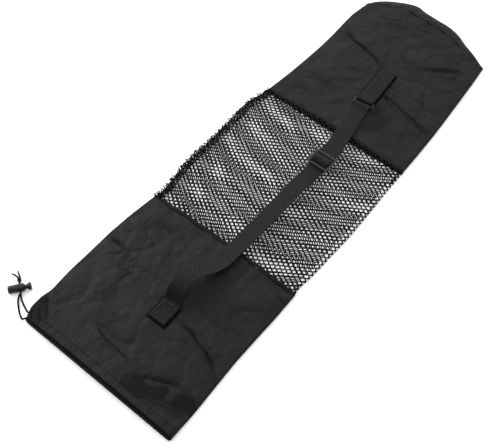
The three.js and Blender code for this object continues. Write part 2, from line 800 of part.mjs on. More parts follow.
// A rectangular loop of round wire
function strapRing() {
  const x = ringBarOffset;
  const y = (strapWidth + 2 * sideClearance + ringWire) / 2;
  const bend = 2;
  const turns = 3;
  const sides = 8;
  const middle = [];
  for (const [cx, cy, from] of [[x, y, 0], [-x, y, 90], [-x, -y, 180], [x, -y, 270]]) {
    for (let step = 0; step <= turns; step += 1) {
      const angle = THREE.MathUtils.degToRad(from + 90 * step / turns);
      middle.push({
        x: cx - Math.sign(cx) * bend + bend * Math.cos(angle),
        y: cy - Math.sign(cy) * bend + bend * Math.sin(angle),
        angle,
      });
    }
  }
  const rings = middle.map((spot) => {
    const ring = [];
    for (let side = 0; side < sides; side += 1) {
      const turn = 2 * Math.PI * side / sides;
      const out = ringWire / 2 * Math.cos(turn);
      ring.push(new THREE.Vector3(
        spot.x + out * Math.cos(spot.angle),
        spot.y + out * Math.sin(spot.angle),
        ringWire / 2 * Math.sin(turn),
      ));
    }
    return ring;
  });
  const corners = [];
  for (let row = 0; row < rings.length; row += 1) {
    const following = rings[(row + 1) % rings.length];
    for (let side = 0; side < sides; side += 1) {
      const next = (side + 1) % sides;
      addQuad(corners, rings[row][side], following[side], following[next], rings[row][next]);
    }
  }
  return solidOf(seatOnStrap(closedGeometry(corners), ringPlace, ringHeight));
}

// A curve whose stations are the listed points themselves
class Stations extends THREE.Curve {
  constructor(points) {
    super();
    this.points = points;
  }

  getPoint(share) {
    const place = Math.min(Math.max(share, 0), 1) * (this.points.length - 1);
    const index = Math.min(Math.floor(place), this.points.length - 2);
    return this.points[index].clone().lerp(this.points[index + 1], place - index);
  }

  getUtoTmapping(share) {
    return share;
  }
}

function cordTube(points) {
  const section = new THREE.Shape();
  section.absarc(0, 0, cordDiameter / 2, 0, 2 * Math.PI);
  return solidOf(new THREE.ExtrudeGeometry(section, {
    steps: points.length - 1,
    curveSegments: 4,
    extrudePath: new Stations(points),
    bevelEnabled: false,
  }));
}

// The hidden stretch in the channel, from the upper exit once round the mouth to the lower exit
function hiddenStretch() {
  const panel = panels.mouth;
  const centre = (channelWall + channelLength - channelStitching) / 2;
  const bendAt = (row) => {
    const x = centre + row.ahead;
    const point = skinPoint(panel, x / panel.length, leftSide, 0);
    return new THREE.Vector3(x, point.y + row.out, point.z + row.up);
  };
  const round = spotsRound(panelColumns, flatColumns);
  const left = round.findIndex((spot) => spot.across === 1 && spot.turn === 90);
  const order = round.slice(0, left).reverse().concat(round.slice(left + 1).reverse());
  const points = order.map((spot, index) => {
    const fromStart = cordDrift[index] ?? exitSpread;
    const fromEnd = cordDrift[order.length - 1 - index] ?? exitSpread;
    const x = centre + fromStart - fromEnd;
    return skinPoint(panel, x / panel.length, spot, channelDepth / 2);
  });
  return [...upperBend.map(bendAt), ...points, ...lowerBend.map(bendAt)];
}

const toVector = ([x, out, z]) => new THREE.Vector3(x, halfWidth + out, z);
const lockCentre = toVector(lockPlace);
const lockAxis = new THREE.Vector3(1, 0, 0).applyAxisAngle(
  new THREE.Vector3(0, 0, 1),
  THREE.MathUtils.degToRad(lockTurn),
);
const lockThrough = new THREE.Vector3(-lockAxis.y, lockAxis.x, 0);
const strandLift = cordDiameter / 2 + gap / 2;

// Straight through the lock, one strand over the other, and on towards the knot
function lockPassage(lift) {
  const straight = 2;
  const reach = lockRadius + 1.5;
  const away = [-reach, -straight, straight, reach];
  return away.map((distance) => {
    const point = lockCentre.clone().addScaledVector(lockThrough, distance);
    point.z += lift;
    return point;
  });
}

function drawcord() {
  const knot = toVector(knotCentre);
  const knotEntry = knot.clone().setZ(knot.z + cordDiameter / 3);
  const points = [
    knotEntry,
    ...lockPassage(-strandLift).reverse(),
    ...upperStrand.map(toVector).reverse(),
    ...hiddenStretch(),
    ...lowerStrand.map(toVector),
    ...lockPassage(strandLift),
    knotEntry,
  ];
  const half = Math.floor(points.length / 2);
  let solid = cordTube(points.slice(0, half + 1)).add(cordTube(points.slice(half)));
  const lump = new THREE.IcosahedronGeometry(knotRadius, 1);
  lump.translate(knot.x, knot.y, knot.z);
  solid = solid.add(solidOf(lump));
  for (const tip of tips) {
    solid = solid.add(cordTube([knot, ...tip.map(toVector)]));
  }
  return solid;
}

function slotThroughLock(along, length, height) {
  const box = new THREE.BoxGeometry(length, 4 * lockRadius, height);
  box.rotateZ(THREE.MathUtils.degToRad(lockTurn));
  const centre = lockCentre.clone().addScaledVector(lockAxis, along);
  box.translate(centre.x, centre.y, centre.z);
  return solidOf(box);
}

// A turned piece along the lock's axis: rows of place along it and radius
function turnedOnLock(profile, sides) {
  const outline = profile.map(([along, radius]) => new THREE.Vector2(radius, along));
  const lathe = new THREE.LatheGeometry(outline, sides);
  lathe.rotateZ(-Math.PI / 2);
  lathe.rotateX(Math.PI / sides);
  lathe.rotateZ(THREE.MathUtils.degToRad(lockTurn));
  lathe.translate(lockCentre.x, lockCentre.y, lockCentre.z);
  return solidOf(lathe);
}

const lockBack = lockHoleFromMouth - lockLength;
const holeHeight = 2 * cordDiameter + 3 * gap;
const holeLength = cordDiameter + 2 * gap;

function cordLockBody() {
  const round = 0.8;
  const barrel = turnedOnLock([
    [lockBack, 0],
    [lockBack, lockRadius - round],
    [lockBack + round, lockRadius],
    [lockHoleFromMouth - round / 2, lockRadius],
    [lockHoleFromMouth, lockRadius - round / 2],
    [lockHoleFromMouth, lockBore],
    [lockBack + lockFloor, lockBore],
    [lockBack + lockFloor, 0],
  ], 16);
  return barrel.subtract(slotThroughLock(0, holeLength, holeHeight));
}

function cordLockPlunger() {
  const stem = lockBore - plungerGap;
  const innerEnd = lockBack + lockFloor + plungerTravel + plungerGap;
  const capStart = lockHoleFromMouth + plungerTravel + plungerGap;
  const round = 0.7;
  const button = turnedOnLock([
    [innerEnd, 0],
    [innerEnd, stem],
    [lockHoleFromMouth + neckStep, stem],
    [lockHoleFromMouth + 2 * neckStep, neckRadius],
    [capStart - neckStep, neckRadius],
    [capStart, capRadius - round],
    [capStart + round, capRadius],
    [capStart + capLength - round, capRadius],
    [capStart + capLength, capRadius - round],
    [capStart + capLength, 0],
  ], 16);
  return button.subtract(slotThroughLock(plungerTravel / 2, holeLength + plungerTravel, holeHeight));
}

// The assembly
const cloth = new THREE.Color(0.032, 0.032, 0.034);
const netBlack = new THREE.Color(0.02, 0.02, 0.021);
const webbing = new THREE.Color(0.026, 0.026, 0.028);
const pieces = [
  namedMesh('mouth_panel', geometryOf(mouthPanel()), cloth, 0.8),
  namedMesh('mesh_panel', geometryOf(netPanel()), netBlack, 0.85),
  namedMesh('base_panel', geometryOf(basePanel()), cloth, 0.8),
  namedMesh('base_disc', geometryOf(baseDisc()), cloth, 0.8),
  namedMesh('strap', geometryOf(band(strapRun())), webbing, 0.85),
  namedMesh('strap_slider', geometryOf(strapSlider()), plasticBlack, 0.4),
  namedMesh('strap_ring', geometryOf(strapRing()), plasticBlack, 0.35),
  namedMesh('ring_tab', geometryOf(ringTab()), webbing, 0.85),
];
const cordPieces = [
  namedMesh('drawcord', geometryOf(drawcord()), netBlack, 0.8),
  namedMesh('cord_lock_body', geometryOf(cordLockBody()), plasticBlack, 0.45),
  namedMesh('cord_lock_plunger', geometryOf(cordLockPlunger()), plasticBlack, 0.45),
];

const bag = new THREE.Group();
bag.add(...pieces);
const extent = new THREE.Box3().setFromObject(bag);
bag.add(...cordPieces);
const centre = extent.getCenter(new THREE.Vector3());
bag.position.set(-centre.x, -centre.y, -extent.min.z);

export default bag;
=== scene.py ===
import math

import bmesh
import bpy
import numpy as np
from mathutils import Matrix, Vector, noise


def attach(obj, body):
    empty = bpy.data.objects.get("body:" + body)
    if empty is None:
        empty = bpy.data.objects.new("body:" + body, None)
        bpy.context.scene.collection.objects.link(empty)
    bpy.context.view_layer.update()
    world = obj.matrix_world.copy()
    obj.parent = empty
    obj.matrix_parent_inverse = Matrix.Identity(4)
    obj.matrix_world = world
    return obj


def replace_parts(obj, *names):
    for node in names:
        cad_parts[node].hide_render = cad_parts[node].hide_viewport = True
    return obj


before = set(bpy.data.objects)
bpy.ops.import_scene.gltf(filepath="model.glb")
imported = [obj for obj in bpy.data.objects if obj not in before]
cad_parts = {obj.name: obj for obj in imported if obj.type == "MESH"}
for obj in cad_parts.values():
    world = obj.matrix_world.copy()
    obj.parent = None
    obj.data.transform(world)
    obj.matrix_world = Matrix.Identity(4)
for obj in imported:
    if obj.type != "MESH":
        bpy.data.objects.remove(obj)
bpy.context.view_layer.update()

MM = 0.001
# Millimetres from the middle of the bag's box to the mouth edge's middle
MOUTH = np.array([395.69, 2.97, 0.0])

# ---- Camera and free cords ----
EYE = (-0.5906, -0.3456, 0.8920)
RIGHT = Vector((0.62631, -0.77868, 0.03720))
UP = Vector((0.63845, 0.53974, 0.54869))
AHEAD = Vector((0.44733, 0.31991, -0.83520))
LENS = 59.34
SENSOR = 36.0

CORD_DIAMETER = 0.0024
# The strands' free routes, from the channel to the lock, through it and on to the knot
UPPER_ROUTE = [
    (-0.39629, 0.11393, 0.0034), (-0.39449, 0.11943, 0.0022), (-0.39149, 0.12493, 0.0016),
    (-0.38729, 0.13083, 0.0015), (-0.38389, 0.13523, 0.0018), (-0.37989, 0.13883, 0.0026),
    (-0.37569, 0.14103, 0.0034), (-0.37289, 0.14147, 0.0039), (-0.37, 0.14524, 0.0039),
    (-0.36758, 0.14842, 0.0039), (-0.36469, 0.15219, 0.0039), (-0.36290, 0.15500, 0.0037),
]
LOWER_ROUTE = [
    (-0.38509, 0.11783, 0.0036), (-0.38329, 0.12333, 0.0029), (-0.38129, 0.12833, 0.0030),
    (-0.37929, 0.13263, 0.0040), (-0.37689, 0.13643, 0.0053), (-0.37409, 0.13963, 0.0063),
    (-0.37289, 0.14147, 0.0066), (-0.37, 0.14524, 0.0066), (-0.36758, 0.14842, 0.0066),
    (-0.36469, 0.15219, 0.0066), (-0.36290, 0.15500, 0.0058),
]
KNOT = Vector((-0.36199, 0.15663, 0.0033))
TIPS = [
    [(-0.36199, 0.15663, 0.0033), (-0.36029, 0.16023, 0.0026), (-0.35939, 0.16423, 0.0016),
     (-0.35949, 0.16783, 0.0013), (-0.36049, 0.17103, 0.0013)],
    [(-0.36199, 0.15663, 0.0033), (-0.35879, 0.15863, 0.0026), (-0.35689, 0.16203, 0.0016),
     (-0.35529, 0.16543, 0.0013), (-0.35329, 0.16863, 0.0013)],
]

# ---- Sizes of the bag, in millimetres ----
MOUTH_LENGTH, NET_LENGTH, BASE_LENGTH = 236.0, 256.0, 242.0
SIDE_LENGTH = MOUTH_LENGTH + NET_LENGTH + BASE_LENGTH
HALF_WIDTH = 120.0
HEIGHT = 15.6
GAP = 0.3
CROWN_POWER = 2.6
CHANNEL_DEPTH, CHANNEL_LENGTH = 5.0, 13.0
BASE_REACH, BASE_SEAM_REACH, BASE_SIDE = 50.0, 32.0, 6.0
SEAM_RAMP = 0.35
CLOTH_STEP = 1.55
HEM_PLACE = CHANNEL_LENGTH - 0.6
EXIT_START, EXIT_END = 1.9, 11.3
NET_START = MOUTH_LENGTH
BASE_START = MOUTH_LENGTH + NET_LENGTH

# Sections: share of the panel's length, left and right shares of half the width, rise and edge
# shares of the height
MOUTH_SECTIONS = [
    (0, 0.93, 1.015, 1, 0.37), (0.06, 0.99, 1.014, 1, 0.37), (0.09, 1.004, 1.013, 0.93, 0.29),
    (0.155, 1.014, 1.011, 0.83, 0.21), (0.21, 0.992, 1.009, 0.83, 0.21),
    (0.35, 1.015, 0.997, 0.83, 0.21), (0.51, 1.017, 0.984, 0.83, 0.21),
    (0.67, 1.025, 0.986, 0.83, 0.21), (0.83, 1.012, 0.992, 0.83, 0.21),
    (1, 0.982, 0.987, 0.83, 0.21),
]
NET_SECTIONS = [
    (0, 0.982, 0.987, 0.83, 0.21), (0.064, 0.965, 0.973, 0.83, 0.21),
    (0.137, 0.979, 0.993, 0.83, 0.21), (0.21, 1.005, 1.002, 0.83, 0.21),
    (0.285, 1.033, 1.004, 0.83, 0.21), (0.434, 1.029, 1.016, 0.83, 0.21),
    (0.578, 1.035, 1.013, 0.83, 0.21), (0.727, 1.056, 1.003, 0.83, 0.21),
    (0.8, 1.068, 0.997, 0.83, 0.21), (0.875, 1.055, 0.993, 0.83, 0.21),
    (0.949, 1.008, 0.991, 0.83, 0.21), (1, 1.001, 0.985, 0.83, 0.21),
]
BASE_SECTIONS = [
    (0, 1.001, 0.985, 0.83, 0.21), (0.18, 0.97, 0.978, 0.83, 0.21),
    (0.335, 0.956, 0.969, 0.83, 0.21), (0.49, 0.946, 0.952, 0.83, 0.21),
    (0.65, 0.951, 0.931, 0.86, 0.21), (0.8, 0.969, 0.91, 0.9, 0.22),
    (0.88, 0.974, 0.899, 0.88, 0.22), (1, 0.945, 0.875, 0.83, 0.22),
]
# Outline of the pressed base: share of the half width, share of the reach
BASE_OUTLINE = [
    (-1, 0), (-0.96, 0.05), (-0.77, 0.31), (-0.56, 0.53), (-0.4, 0.76), (-0.2, 0.89),
    (0.03, 0.92), (0.21, 0.95), (0.37, 1.06), (0.53, 0.94), (0.76, 0.66), (0.94, 0.32), (1, 0),
]

# Creases in the top: points (from the mouth, from the middle), then depth, width and step, in
# millimetres. A step above 0 lets the cloth on the left of the line lie lower, as seen along it.
CREASES = [
    ([(52, 41), (47, 22), (45, 3), (41, -25)], 2.4, 3.6, 1.2),
    ([(152, 116), (153, 88)], 2.6, 4.2, 1.0),
    ([(126, 80), (131, 62), (128, 54)], 2.4, 3.6, 1.2),
    ([(116, -28), (117, -50), (110, -83), (101, -99), (90, -114)], 2.2, 4.5, 1.4),
    ([(119, -33), (127, -68)], 1.0, 3.5, 0.6),
    ([(150, -30), (148, -58), (143, -80)], 0.8, 4.0, 0.5),
    ([(10, -25), (30, -44), (49, -77), (58, -111)], 1.4, 5.0, -1.0),
    ([(12, -63), (26, -86), (33, -125)], 1.2, 5.0, 1.2),
    ([(222, -102), (222, -121)], 1.2, 4.0, 0.6),
    ([(205, 49), (204, 96)], 0.7, 9.0, 0.4),
    ([(9, 88), (19, 95), (31, 107), (43, 122)], 2.6, 2.8, 1.2),
    ([(4, 94), (15, 102), (26, 116)], 2.2, 2.6, -0.8),
    ([(0, 102), (8, 109), (16, 120)], 2.2, 2.4, 0.8),
    ([(628, 6), (640, 30), (648, 54), (654, 82), (675, 108)], 2.4, 3.2, 1.4),
    ([(592, -2), (585, -32), (578, -62), (569, -118)], 2.4, 4.6, -1.2),
    ([(704, 67), (693, 48)], 2.4, 3.6, 1.0),
    ([(700, -20), (716, -52), (738, -70)], 0.8, 4.5, 0.6),
    ([(690, 20), (668, -8), (672, -44)], 0.6, 4.5, 0.4),
    ([(748, 62), (741, 10), (744, -46)], 1.2, 4.0, 0.9),
    ([(690, 84), (706, 40), (730, 22)], 1.3, 4.0, 1.0),
    ([(664, -30), (690, -62), (712, -92)], 1.2, 4.5, -0.9),
    ([(722, 80), (735, 52), (752, 34)], 1.4, 3.6, 0.9),
    ([(552, 30), (549, 92)], 0.5, 8.0, 0.3),
    ([(612, -64), (606, -104)], 0.5, 6.0, 0.4),
    ([(516, 60), (530, 100)], 0.6, 7.0, 0.3),
]

# Stretches of the top cloth with painted shade, darker than the rest: corners, how dark, and over how
# many millimetres from the edge the darkness grows
PAINTED_SHADE_PATCHES = [
    ([(10, -25), (30, -44), (49, -77), (58, -111), (46, -127), (33, -125), (26, -86), (9, -63)],
     0.6, 4.5),
    ([(0, 88), (13, 92), (22, 97), (32, 108), (42, 124), (0, 124)], 0.5, 3.0),
    ([(494, -26), (572, -16), (566, -52), (524, -70)], 0.4, 16.0),
]

# ---- Strap and fittings, in millimetres ----
STRAP_WIDTH, STRAP_THICK = 25.0, 1.3
STRAP_BED = 0.83 * HEIGHT
PATCH_START, PATCH_LENGTH, PATCH_TUCK = 98.5, 29.0, 2.0
ARCH_LENGTH, ARCH_HEIGHT = 88.0, 19.0
SLIDER_LENGTH, BAR_WIDTH, MIDDLE_BAR, BAR_THICK = 27.0, 3.5, 4.0, 1.8
RING_LENGTH, RING_WIRE, SIDE_CLEARANCE = 11.0, 2.6, 0.8
RING_PLACE = BASE_START + 59.5
SLIDER_PLACE = RING_PLACE - 126.5
TAB_END = RING_PLACE + 77.5
TAB_SEWN, TAB_TAPER, LOOP_TAPER, LOOP_SAG = 22.0, 20.0, 9.0, 0.5
LAYER_LOW = GAP + STRAP_THICK / 2
LAYER_HIGH = LAYER_LOW + STRAP_THICK + GAP
FOLD_RADIUS = (LAYER_HIGH - LAYER_LOW) / 2
BAR_HEIGHT = LAYER_HIGH + STRAP_THICK / 2 + GAP + BAR_THICK / 2
WRAP_RADIUS = BAR_THICK / 2 + GAP + STRAP_THICK / 2
OVER_HEIGHT = BAR_HEIGHT + WRAP_RADIUS + STRAP_THICK + GAP
RING_HEIGHT = LAYER_LOW + STRAP_THICK / 2 + GAP + RING_WIRE / 2
RING_WRAP = RING_WIRE / 2 + GAP + STRAP_THICK / 2
RING_BAR = (RING_LENGTH - RING_WIRE) / 2
# The sewn boxes' ends and half width, and the bar sewn across the tab near the ring
PATCH_BOX, TAB_BOX, TAB_BAR, BOX_HALF = (101.0, 125.0), (598.5, 622.5), 581.0, 10.0
# How far from its end the tab's edges cast painted shade onto the cloth
TAB_SHADE = 66.0

# The strap from above: share of the bag's side length, share of half the width, roll in degrees
STRAP_LINE = np.array([
    (0, -0.104, 0), (0.174, -0.104, 0), (0.192, -0.075, 2), (0.21, -0.063, 0),
    (0.228, -0.075, -5), (0.245, -0.12, -10), (0.27, -0.175, -14), (0.32, -0.188, -12),
    (0.4, -0.197, -10), (0.5, -0.195, -7), (0.545, -0.204, 0), (0.61, -0.196, 0),
    (0.66, -0.158, 0), (0.725, -0.086, 0), (0.765, -0.058, 0), (0.82, -0.036, 0),
    (0.86, -0.014, 0), (1, 0.01, 0),
])
# Share of the arch's length, share of its height
STRAP_ARCH = [
    (0.03, 0.05), (0.07, 0.26), (0.12, 0.52), (0.2, 0.77), (0.3, 0.93), (0.41, 1),
    (0.52, 0.95), (0.62, 0.79), (0.72, 0.55), (0.82, 0.31), (0.91, 0.12), (1, 0.03),
]
# Share of half the slider's length from its middle, height
SLIDER_WAY = [
    (-1.148, LAYER_LOW), (-0.696, LAYER_LOW), (-0.311, OVER_HEIGHT), (0.237, OVER_HEIGHT),
    (0.652, LAYER_HIGH), (1.222, LAYER_HIGH),
]
TAB_RISE = [(0.3, 0.69), (0.6, 0.21), (1, 0)]

# ---- Cord lock, in metres and degrees ----
LOCK_CENTRE = Vector((-0.36879, 0.14683, 0.00525))
LOCK_TURN = math.radians(-37.4)
LOCK_RADIUS, LOCK_LENGTH, LOCK_BORE, LOCK_FLOOR = 5.25, 20.0, 4.1, 2.4
LOCK_MOUTH, LOCK_TRAVEL, CAP_RADIUS, CAP_LENGTH = 5.2, 4.0, 4.9, 4.4
NECK_RADIUS, NECK_STEP = 3.0, 0.6


# ---- Materials ----
class Signal:
    """An output of a material's node tree that reads like a number in an expression."""

    def __init__(self, look, socket):
        self.look = look
        self.socket = socket

    def math(self, operation, first, *others):
        return self.look.node("Math", {"operation": operation}, dict(enumerate((first,) + others)))

    def __add__(self, other):
        return self.math("ADD", self, other)

    __radd__ = __add__

    def __sub__(self, other):
        return self.math("SUBTRACT", self, other)

    def __rsub__(self, other):
        return self.math("SUBTRACT", other, self)

    def __mul__(self, other):
        return self.math("MULTIPLY", self, other)

    __rmul__ = __mul__

    def __truediv__(self, other):
        return self.math("DIVIDE", self, other)

    def __rtruediv__(self, other):
        return self.math("DIVIDE", other, self)

    def sin(self):
        return self.math("SINE", self)

    def abs(self):
        return self.math("ABSOLUTE", self)

    def rise(self, low, high):
        """0 below low, 1 above high, smooth between."""
        inputs = {"Value": self, "From Min": low, "From Max": high}
        return self.look.node("MapRange", {"interpolation_type": "SMOOTHSTEP"}, inputs)


class Look:
    """A material with one shader, whose nodes are made through one method."""

    def __init__(self, name, **fixed):
        self.material = bpy.data.materials.new(name)
        self.material.use_nodes = True
        self.tree = self.material.node_tree
        self.shader = self.tree.nodes["Principled BSDF"]
        for key, value in fixed.items():
            self.shader.inputs[key.replace("_", " ")].default_value = value

    def plug(self, socket, value):
        if isinstance(value, Signal):
            self.tree.links.new(value.socket, socket)
        else:
            socket.default_value = value

    def node(self, kind, settings=None, inputs=None, output=0):
        made = self.tree.nodes.new("ShaderNode" + kind)
        for key, value in (settings or {}).items():
            setattr(made, key, value)
        for key, value in (inputs or {}).items():
            self.plug(made.inputs[key], value)
        return Signal(self, made.outputs[output])

    def place(self):
        """The place on the object, in millimetres."""
        point = self.node("TexCoord", output="Object")
        return self.node("VectorMath", {"operation": "SCALE"}, {0: point, "Scale": 1 / MM})

    def parts(self, vector):
        """x and y of a vector."""
        return [self.node("SeparateXYZ", None, {0: vector}, axis) for axis in range(2)]

    def painted_shade_and_sewn_tone(self):
        """How much painted shade the cloth gets here, and on the webbing how much darker its sewn
        stretches are, from 0 to 1.
        """
        return self.node("Attribute", {"attribute_name": "painted_shade_and_sewn_tone"}, output=2)

    def noise(self, vector, scale, detail=2.0, roughness=0.5):
        inputs = {"Vector": vector, "Scale": scale, "Detail": detail, "Roughness": roughness}
        return self.node("TexNoise", None, inputs)

    def mix(self, share, first, second):
        settings = {"data_type": "RGBA", "clamp_factor": True}
        return self.node("Mix", settings, {0: share, 6: first, 7: second}, 2)

    def bump(self, height):
        """A normal from a height in millimetres."""
        return self.node("Bump", None, {"Height": height, "Distance": MM, "Strength": 1.0})

    def finish(self, color, roughness, normal=None):
        for socket, value in (("Base Color", color), ("Roughness", roughness), ("Normal", normal)):
            if value is not None:
                self.plug(self.shader.inputs[socket], value)
        return self.material


def grey(level, warm=1.0):
    return (level, level * 0.995, level * 1.03 / warm, 1.0)


def nylon_look():
    look = Look("nylon", Specular_IOR_Level=0.1, Sheen_Weight=0.01, Sheen_Roughness=0.4)
    vector = look.place()
    x, y = look.parts(vector)
    thread = 0.62
    weave = (x * (math.pi / thread)).sin() * (y * (math.pi / thread)).sin()
    slub = look.noise(vector, 0.9, 3.0, 0.6)
    crumple = look.noise(vector, 0.03, 3.0, 0.5)
    creased = (look.noise(vector, 0.017, 3.0, 0.5) - 0.5).abs()
    wide = look.noise(vector, 0.012, 3.0, 0.5)
    tone = (crumple - 0.5) * 0.6 + (wide - 0.5) * 0.8 + (slub - 0.5) * 0.5 + weave * 0.08 + 0.5
    height = weave * 0.035 + (crumple - 0.5) * 6.5 + creased * 9.0 + (slub - 0.5) * 0.08
    # The cloth's colour goes to near-black with its painted shade, in creases, darkened stretches,
    # along the mouth edge and beside the sewn strap pieces
    painted_shade_and_sewn_tone = look.painted_shade_and_sewn_tone()
    return look.finish(
        look.mix(painted_shade_and_sewn_tone, look.mix(tone, grey(0.005), grey(0.0145)), grey(0.0012)),
        (slub - 0.5) * 0.2 + 0.6 + (wide - 0.5) * 0.15 + painted_shade_and_sewn_tone * 0.35,
        look.bump(height),
    )


def net_look():
    look = Look("net", Specular_IOR_Level=0.12)
    vector = look.place()
    x, y = look.parts(vector)
    knit = ((x * 0.9 + y * 0.35) * 9.0).sin() * ((y * 0.9 - x * 0.35) * 9.0).sin()
    fuzz = look.noise(vector, 2.4, 3.0, 0.6)
    patch = look.noise(vector, 0.02, 2.0)
    tone = knit * 0.15 + (fuzz - 0.5) * 0.6 + (patch - 0.5) * 0.4 + 0.5
    return look.finish(
        look.mix(tone, grey(0.002), grey(0.007)),
        (fuzz - 0.5) * 0.2 + 0.72,
        look.bump(knit * 0.06 + fuzz * 0.1),
    )


def webbing_look():
    look = Look("webbing", Specular_IOR_Level=0.14, Sheen_Weight=0.02, Sheen_Roughness=0.4)
    across, along = look.parts(look.node("UVMap", {"uv_map": "cloth"}))
    across, along = across * (1 / MM), along * (1 / MM)
    rib = ((along - across * 0.45) * (2 * math.pi / 3.7)).sin()
    pick = (across * (2 * math.pi / 0.9)).sin() * (along * (2 * math.pi / 0.8)).sin()
    vector = look.place()
    fuzz = look.noise(vector, 1.6, 3.0, 0.6)
    wide = look.noise(vector, 0.03, 2.0)
    tone = rib * 0.75 + pick * 0.1 + (fuzz - 0.5) * 0.5 + (wide - 0.5) * 0.5 + 0.5
    # The webbing's colour goes to near-black with painted shade where it faces the mouth, and darkens
    # where it is sewn down
    painted_shade_and_sewn_tone = look.painted_shade_and_sewn_tone()
    return look.finish(
        look.mix(painted_shade_and_sewn_tone, look.mix(tone, grey(0.0006), grey(0.0125)), grey(0.0008)),
        (fuzz - 0.5) * 0.2 + 0.66,
        look.bump(rib * 0.35 + pick * 0.05 + (fuzz - 0.5) * 0.06),
    )


def cord_look():
    look = Look("cord", Specular_IOR_Level=0.05)
    around, along = look.parts(look.node("UVMap", {"uv_map": "cloth"}))
    crossings, pitch = 4, 1.5 * MM
    around, along = around * (2 * math.pi * crossings), along * (2 * math.pi / pitch)
    braid = (around + along).sin() * (around - along).sin()
    vector = look.place()
    fuzz = look.noise(vector, 3.0, 2.0)
    return look.finish(
        look.mix(braid * 0.3 + (fuzz - 0.5) * 0.4 + 0.5, grey(0.001), grey(0.0045)),
        (fuzz - 0.5) * 0.2 + 0.6,
        look.bump(braid * 0.12 + (fuzz - 0.5) * 0.05),
    )


def plastic_look(name, dark, light, roughness):
    look = Look(name, Specular_IOR_Level=0.32)
    vector = look.place()
    grain = look.noise(vector, 3.5, 3.0, 0.6)
    scuff = look.noise(vector, 0.5, 4.0, 0.65).rise(0.52, 0.75)
    return look.finish(
        look.mix(scuff * 0.6 + (grain - 0.5) * 0.3, grey(dark), grey(light)),
        scuff * 0.18 + (grain - 0.5) * 0.08 + roughness,
        look.bump(grain * 0.03 - scuff * 0.03),
    )


def thread_look(name, dark, light):
    look = Look(name, Specular_IOR_Level=0.15)
    x, y = look.parts(look.place())
    twist = ((x + y) * 14.0).sin()
    return look.finish(
        look.mix(twist * 0.3 + 0.5, grey(dark), grey(light)),
        twist * 0.08 + 0.55,
        look.bump(twist * 0.05),
    )


def floor_look():
    white = (1.0, 1.0, 1.0, 1.0)
    look = Look("floor", Specular_IOR_Level=0.2, Emission_Strength=0.22, Emission_Color=white)
    vector = look.place()
    cloud = look.noise(vector, 0.004, 2.0)
    color = look.mix(cloud, grey(0.86, 1.03), grey(0.89, 1.03))
    return look.finish(color, 0.85 + (cloud - 0.5) * 0.05)


NYLON = nylon_look()
NET = net_look()
WEBBING = webbing_look()
CORD = cord_look()
FITTING = plastic_look("fitting_plastic", 0.007, 0.018, 0.32)
LOCK = plastic_look("lock_plastic", 0.002, 0.006, 0.32)
THREAD = thread_look("thread", 0.002, 0.006)
STRAP_THREAD = thread_look("strap_thread", 0.02, 0.045)


# ---- Meshes ----
def to_row(points):
    """From millimetres in the bag's own frame to metres in the row frame."""
    return (np.asarray(points, float) - MOUTH) * MM


def add_mesh(name, vertices, faces, material, body="bag", uvs=None):
    """A smooth piece on a body and in a slot, with a plan of places on its cloth if uvs are given."""
    mesh = bpy.data.meshes.new(name)
    if isinstance(faces, np.ndarray):
        faces = faces.tolist()
    mesh.from_pydata(np.asarray(vertices, float).tolist(), [], faces)
    if uvs is not None:
        layer = mesh.uv_layers.new(name="cloth")
        picks = np.empty(len(mesh.loops), dtype=np.int32)
        mesh.loops.foreach_get("vertex_index", picks)
        layer.data.foreach_set("uv", np.asarray(uvs, np.float32)[picks].ravel())
    mesh.polygons.foreach_set("use_smooth", [True] * len(mesh.polygons))
    mesh.materials.append(material)
    mesh.validate()
    mesh.update()
    piece = bpy.data.objects.new(name, mesh)
    bpy.context.scene.collection.objects.link(piece)
    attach(piece, body)
    return piece


def grid_faces(rows, columns, loop=False, first=0):
    """Quads between the rows of a grid whose points are listed row by row."""
    across = np.arange(columns if loop else columns - 1)
    row, column = np.meshgrid(np.arange(rows - 1) * columns, across, indexing="ij")
    after = (column + 1) % columns
    corners = [row + column, row + after, row + columns + after, row + columns + column]
    return np.stack([corner.ravel() for corner in corners], axis=1) + first


def capped_faces(rings, sides):
    """Faces of a tube of rings, closed at both ends."""
    ends = [list(range(sides))[::-1], list(range((rings - 1) * sides, rings * sides))]
    return grid_faces(rings, sides, loop=True).tolist() + ends


def spread(table, share, blur=0.03):
    """The table's columns at each share, rounded off where its rows meet."""
    table = np.array(table, float)
    steps = np.linspace(-1, 1, 9) * blur
    weights = np.exp(-2 * (steps / blur) ** 2)
    weights /= weights.sum()
    near = np.clip(share[:, None] + steps[None, :], table[0, 0], table[-1, 0])
    columns = [np.interp(near, table[:, 0], column) for column in table[:, 1:].T]
    return [(column * weights).sum(1)[:, None] for column in columns]


def reach_at(y, left, right):
    """How far the pressed base reaches at each y, as a share of its reach."""
    outline = np.array(BASE_OUTLINE)
    middle = (left - right) * HALF_WIDTH / 2
    half = (left + right) * HALF_WIDTH / 2
    share = np.clip((y - middle) / half, -1, 1)
    steps = np.linspace(-0.06, 0.06, 7)
    near = np.clip(share[..., None] + steps, -1, 1)
    return np.interp(near, outline[:, 0], outline[:, 1]).mean(-1)


def round_spots(top_steps, bottom_steps, turns=5):
    """Once round a tube: across from -1 to 1, turn in degrees round a side, top or bottom."""
    angles = 90.0 * np.arange(1, turns + 1) / turns
    spots = [(-1, a, 1) for a in angles[::-1]]
    spots += [(-1 + 2 * k / top_steps, 0, 1) for k in range(top_steps + 1)]
    spots += [(1, a, 1) for a in angles] + [(1, a, 0) for a in angles[-2::-1]]
    spots += [(1 - 2 * k / bottom_steps, 0, 0) for k in range(bottom_steps + 1)]
    spots += [(-1, a, 0) for a in angles[:-1]]
    return np.array(spots, float).T


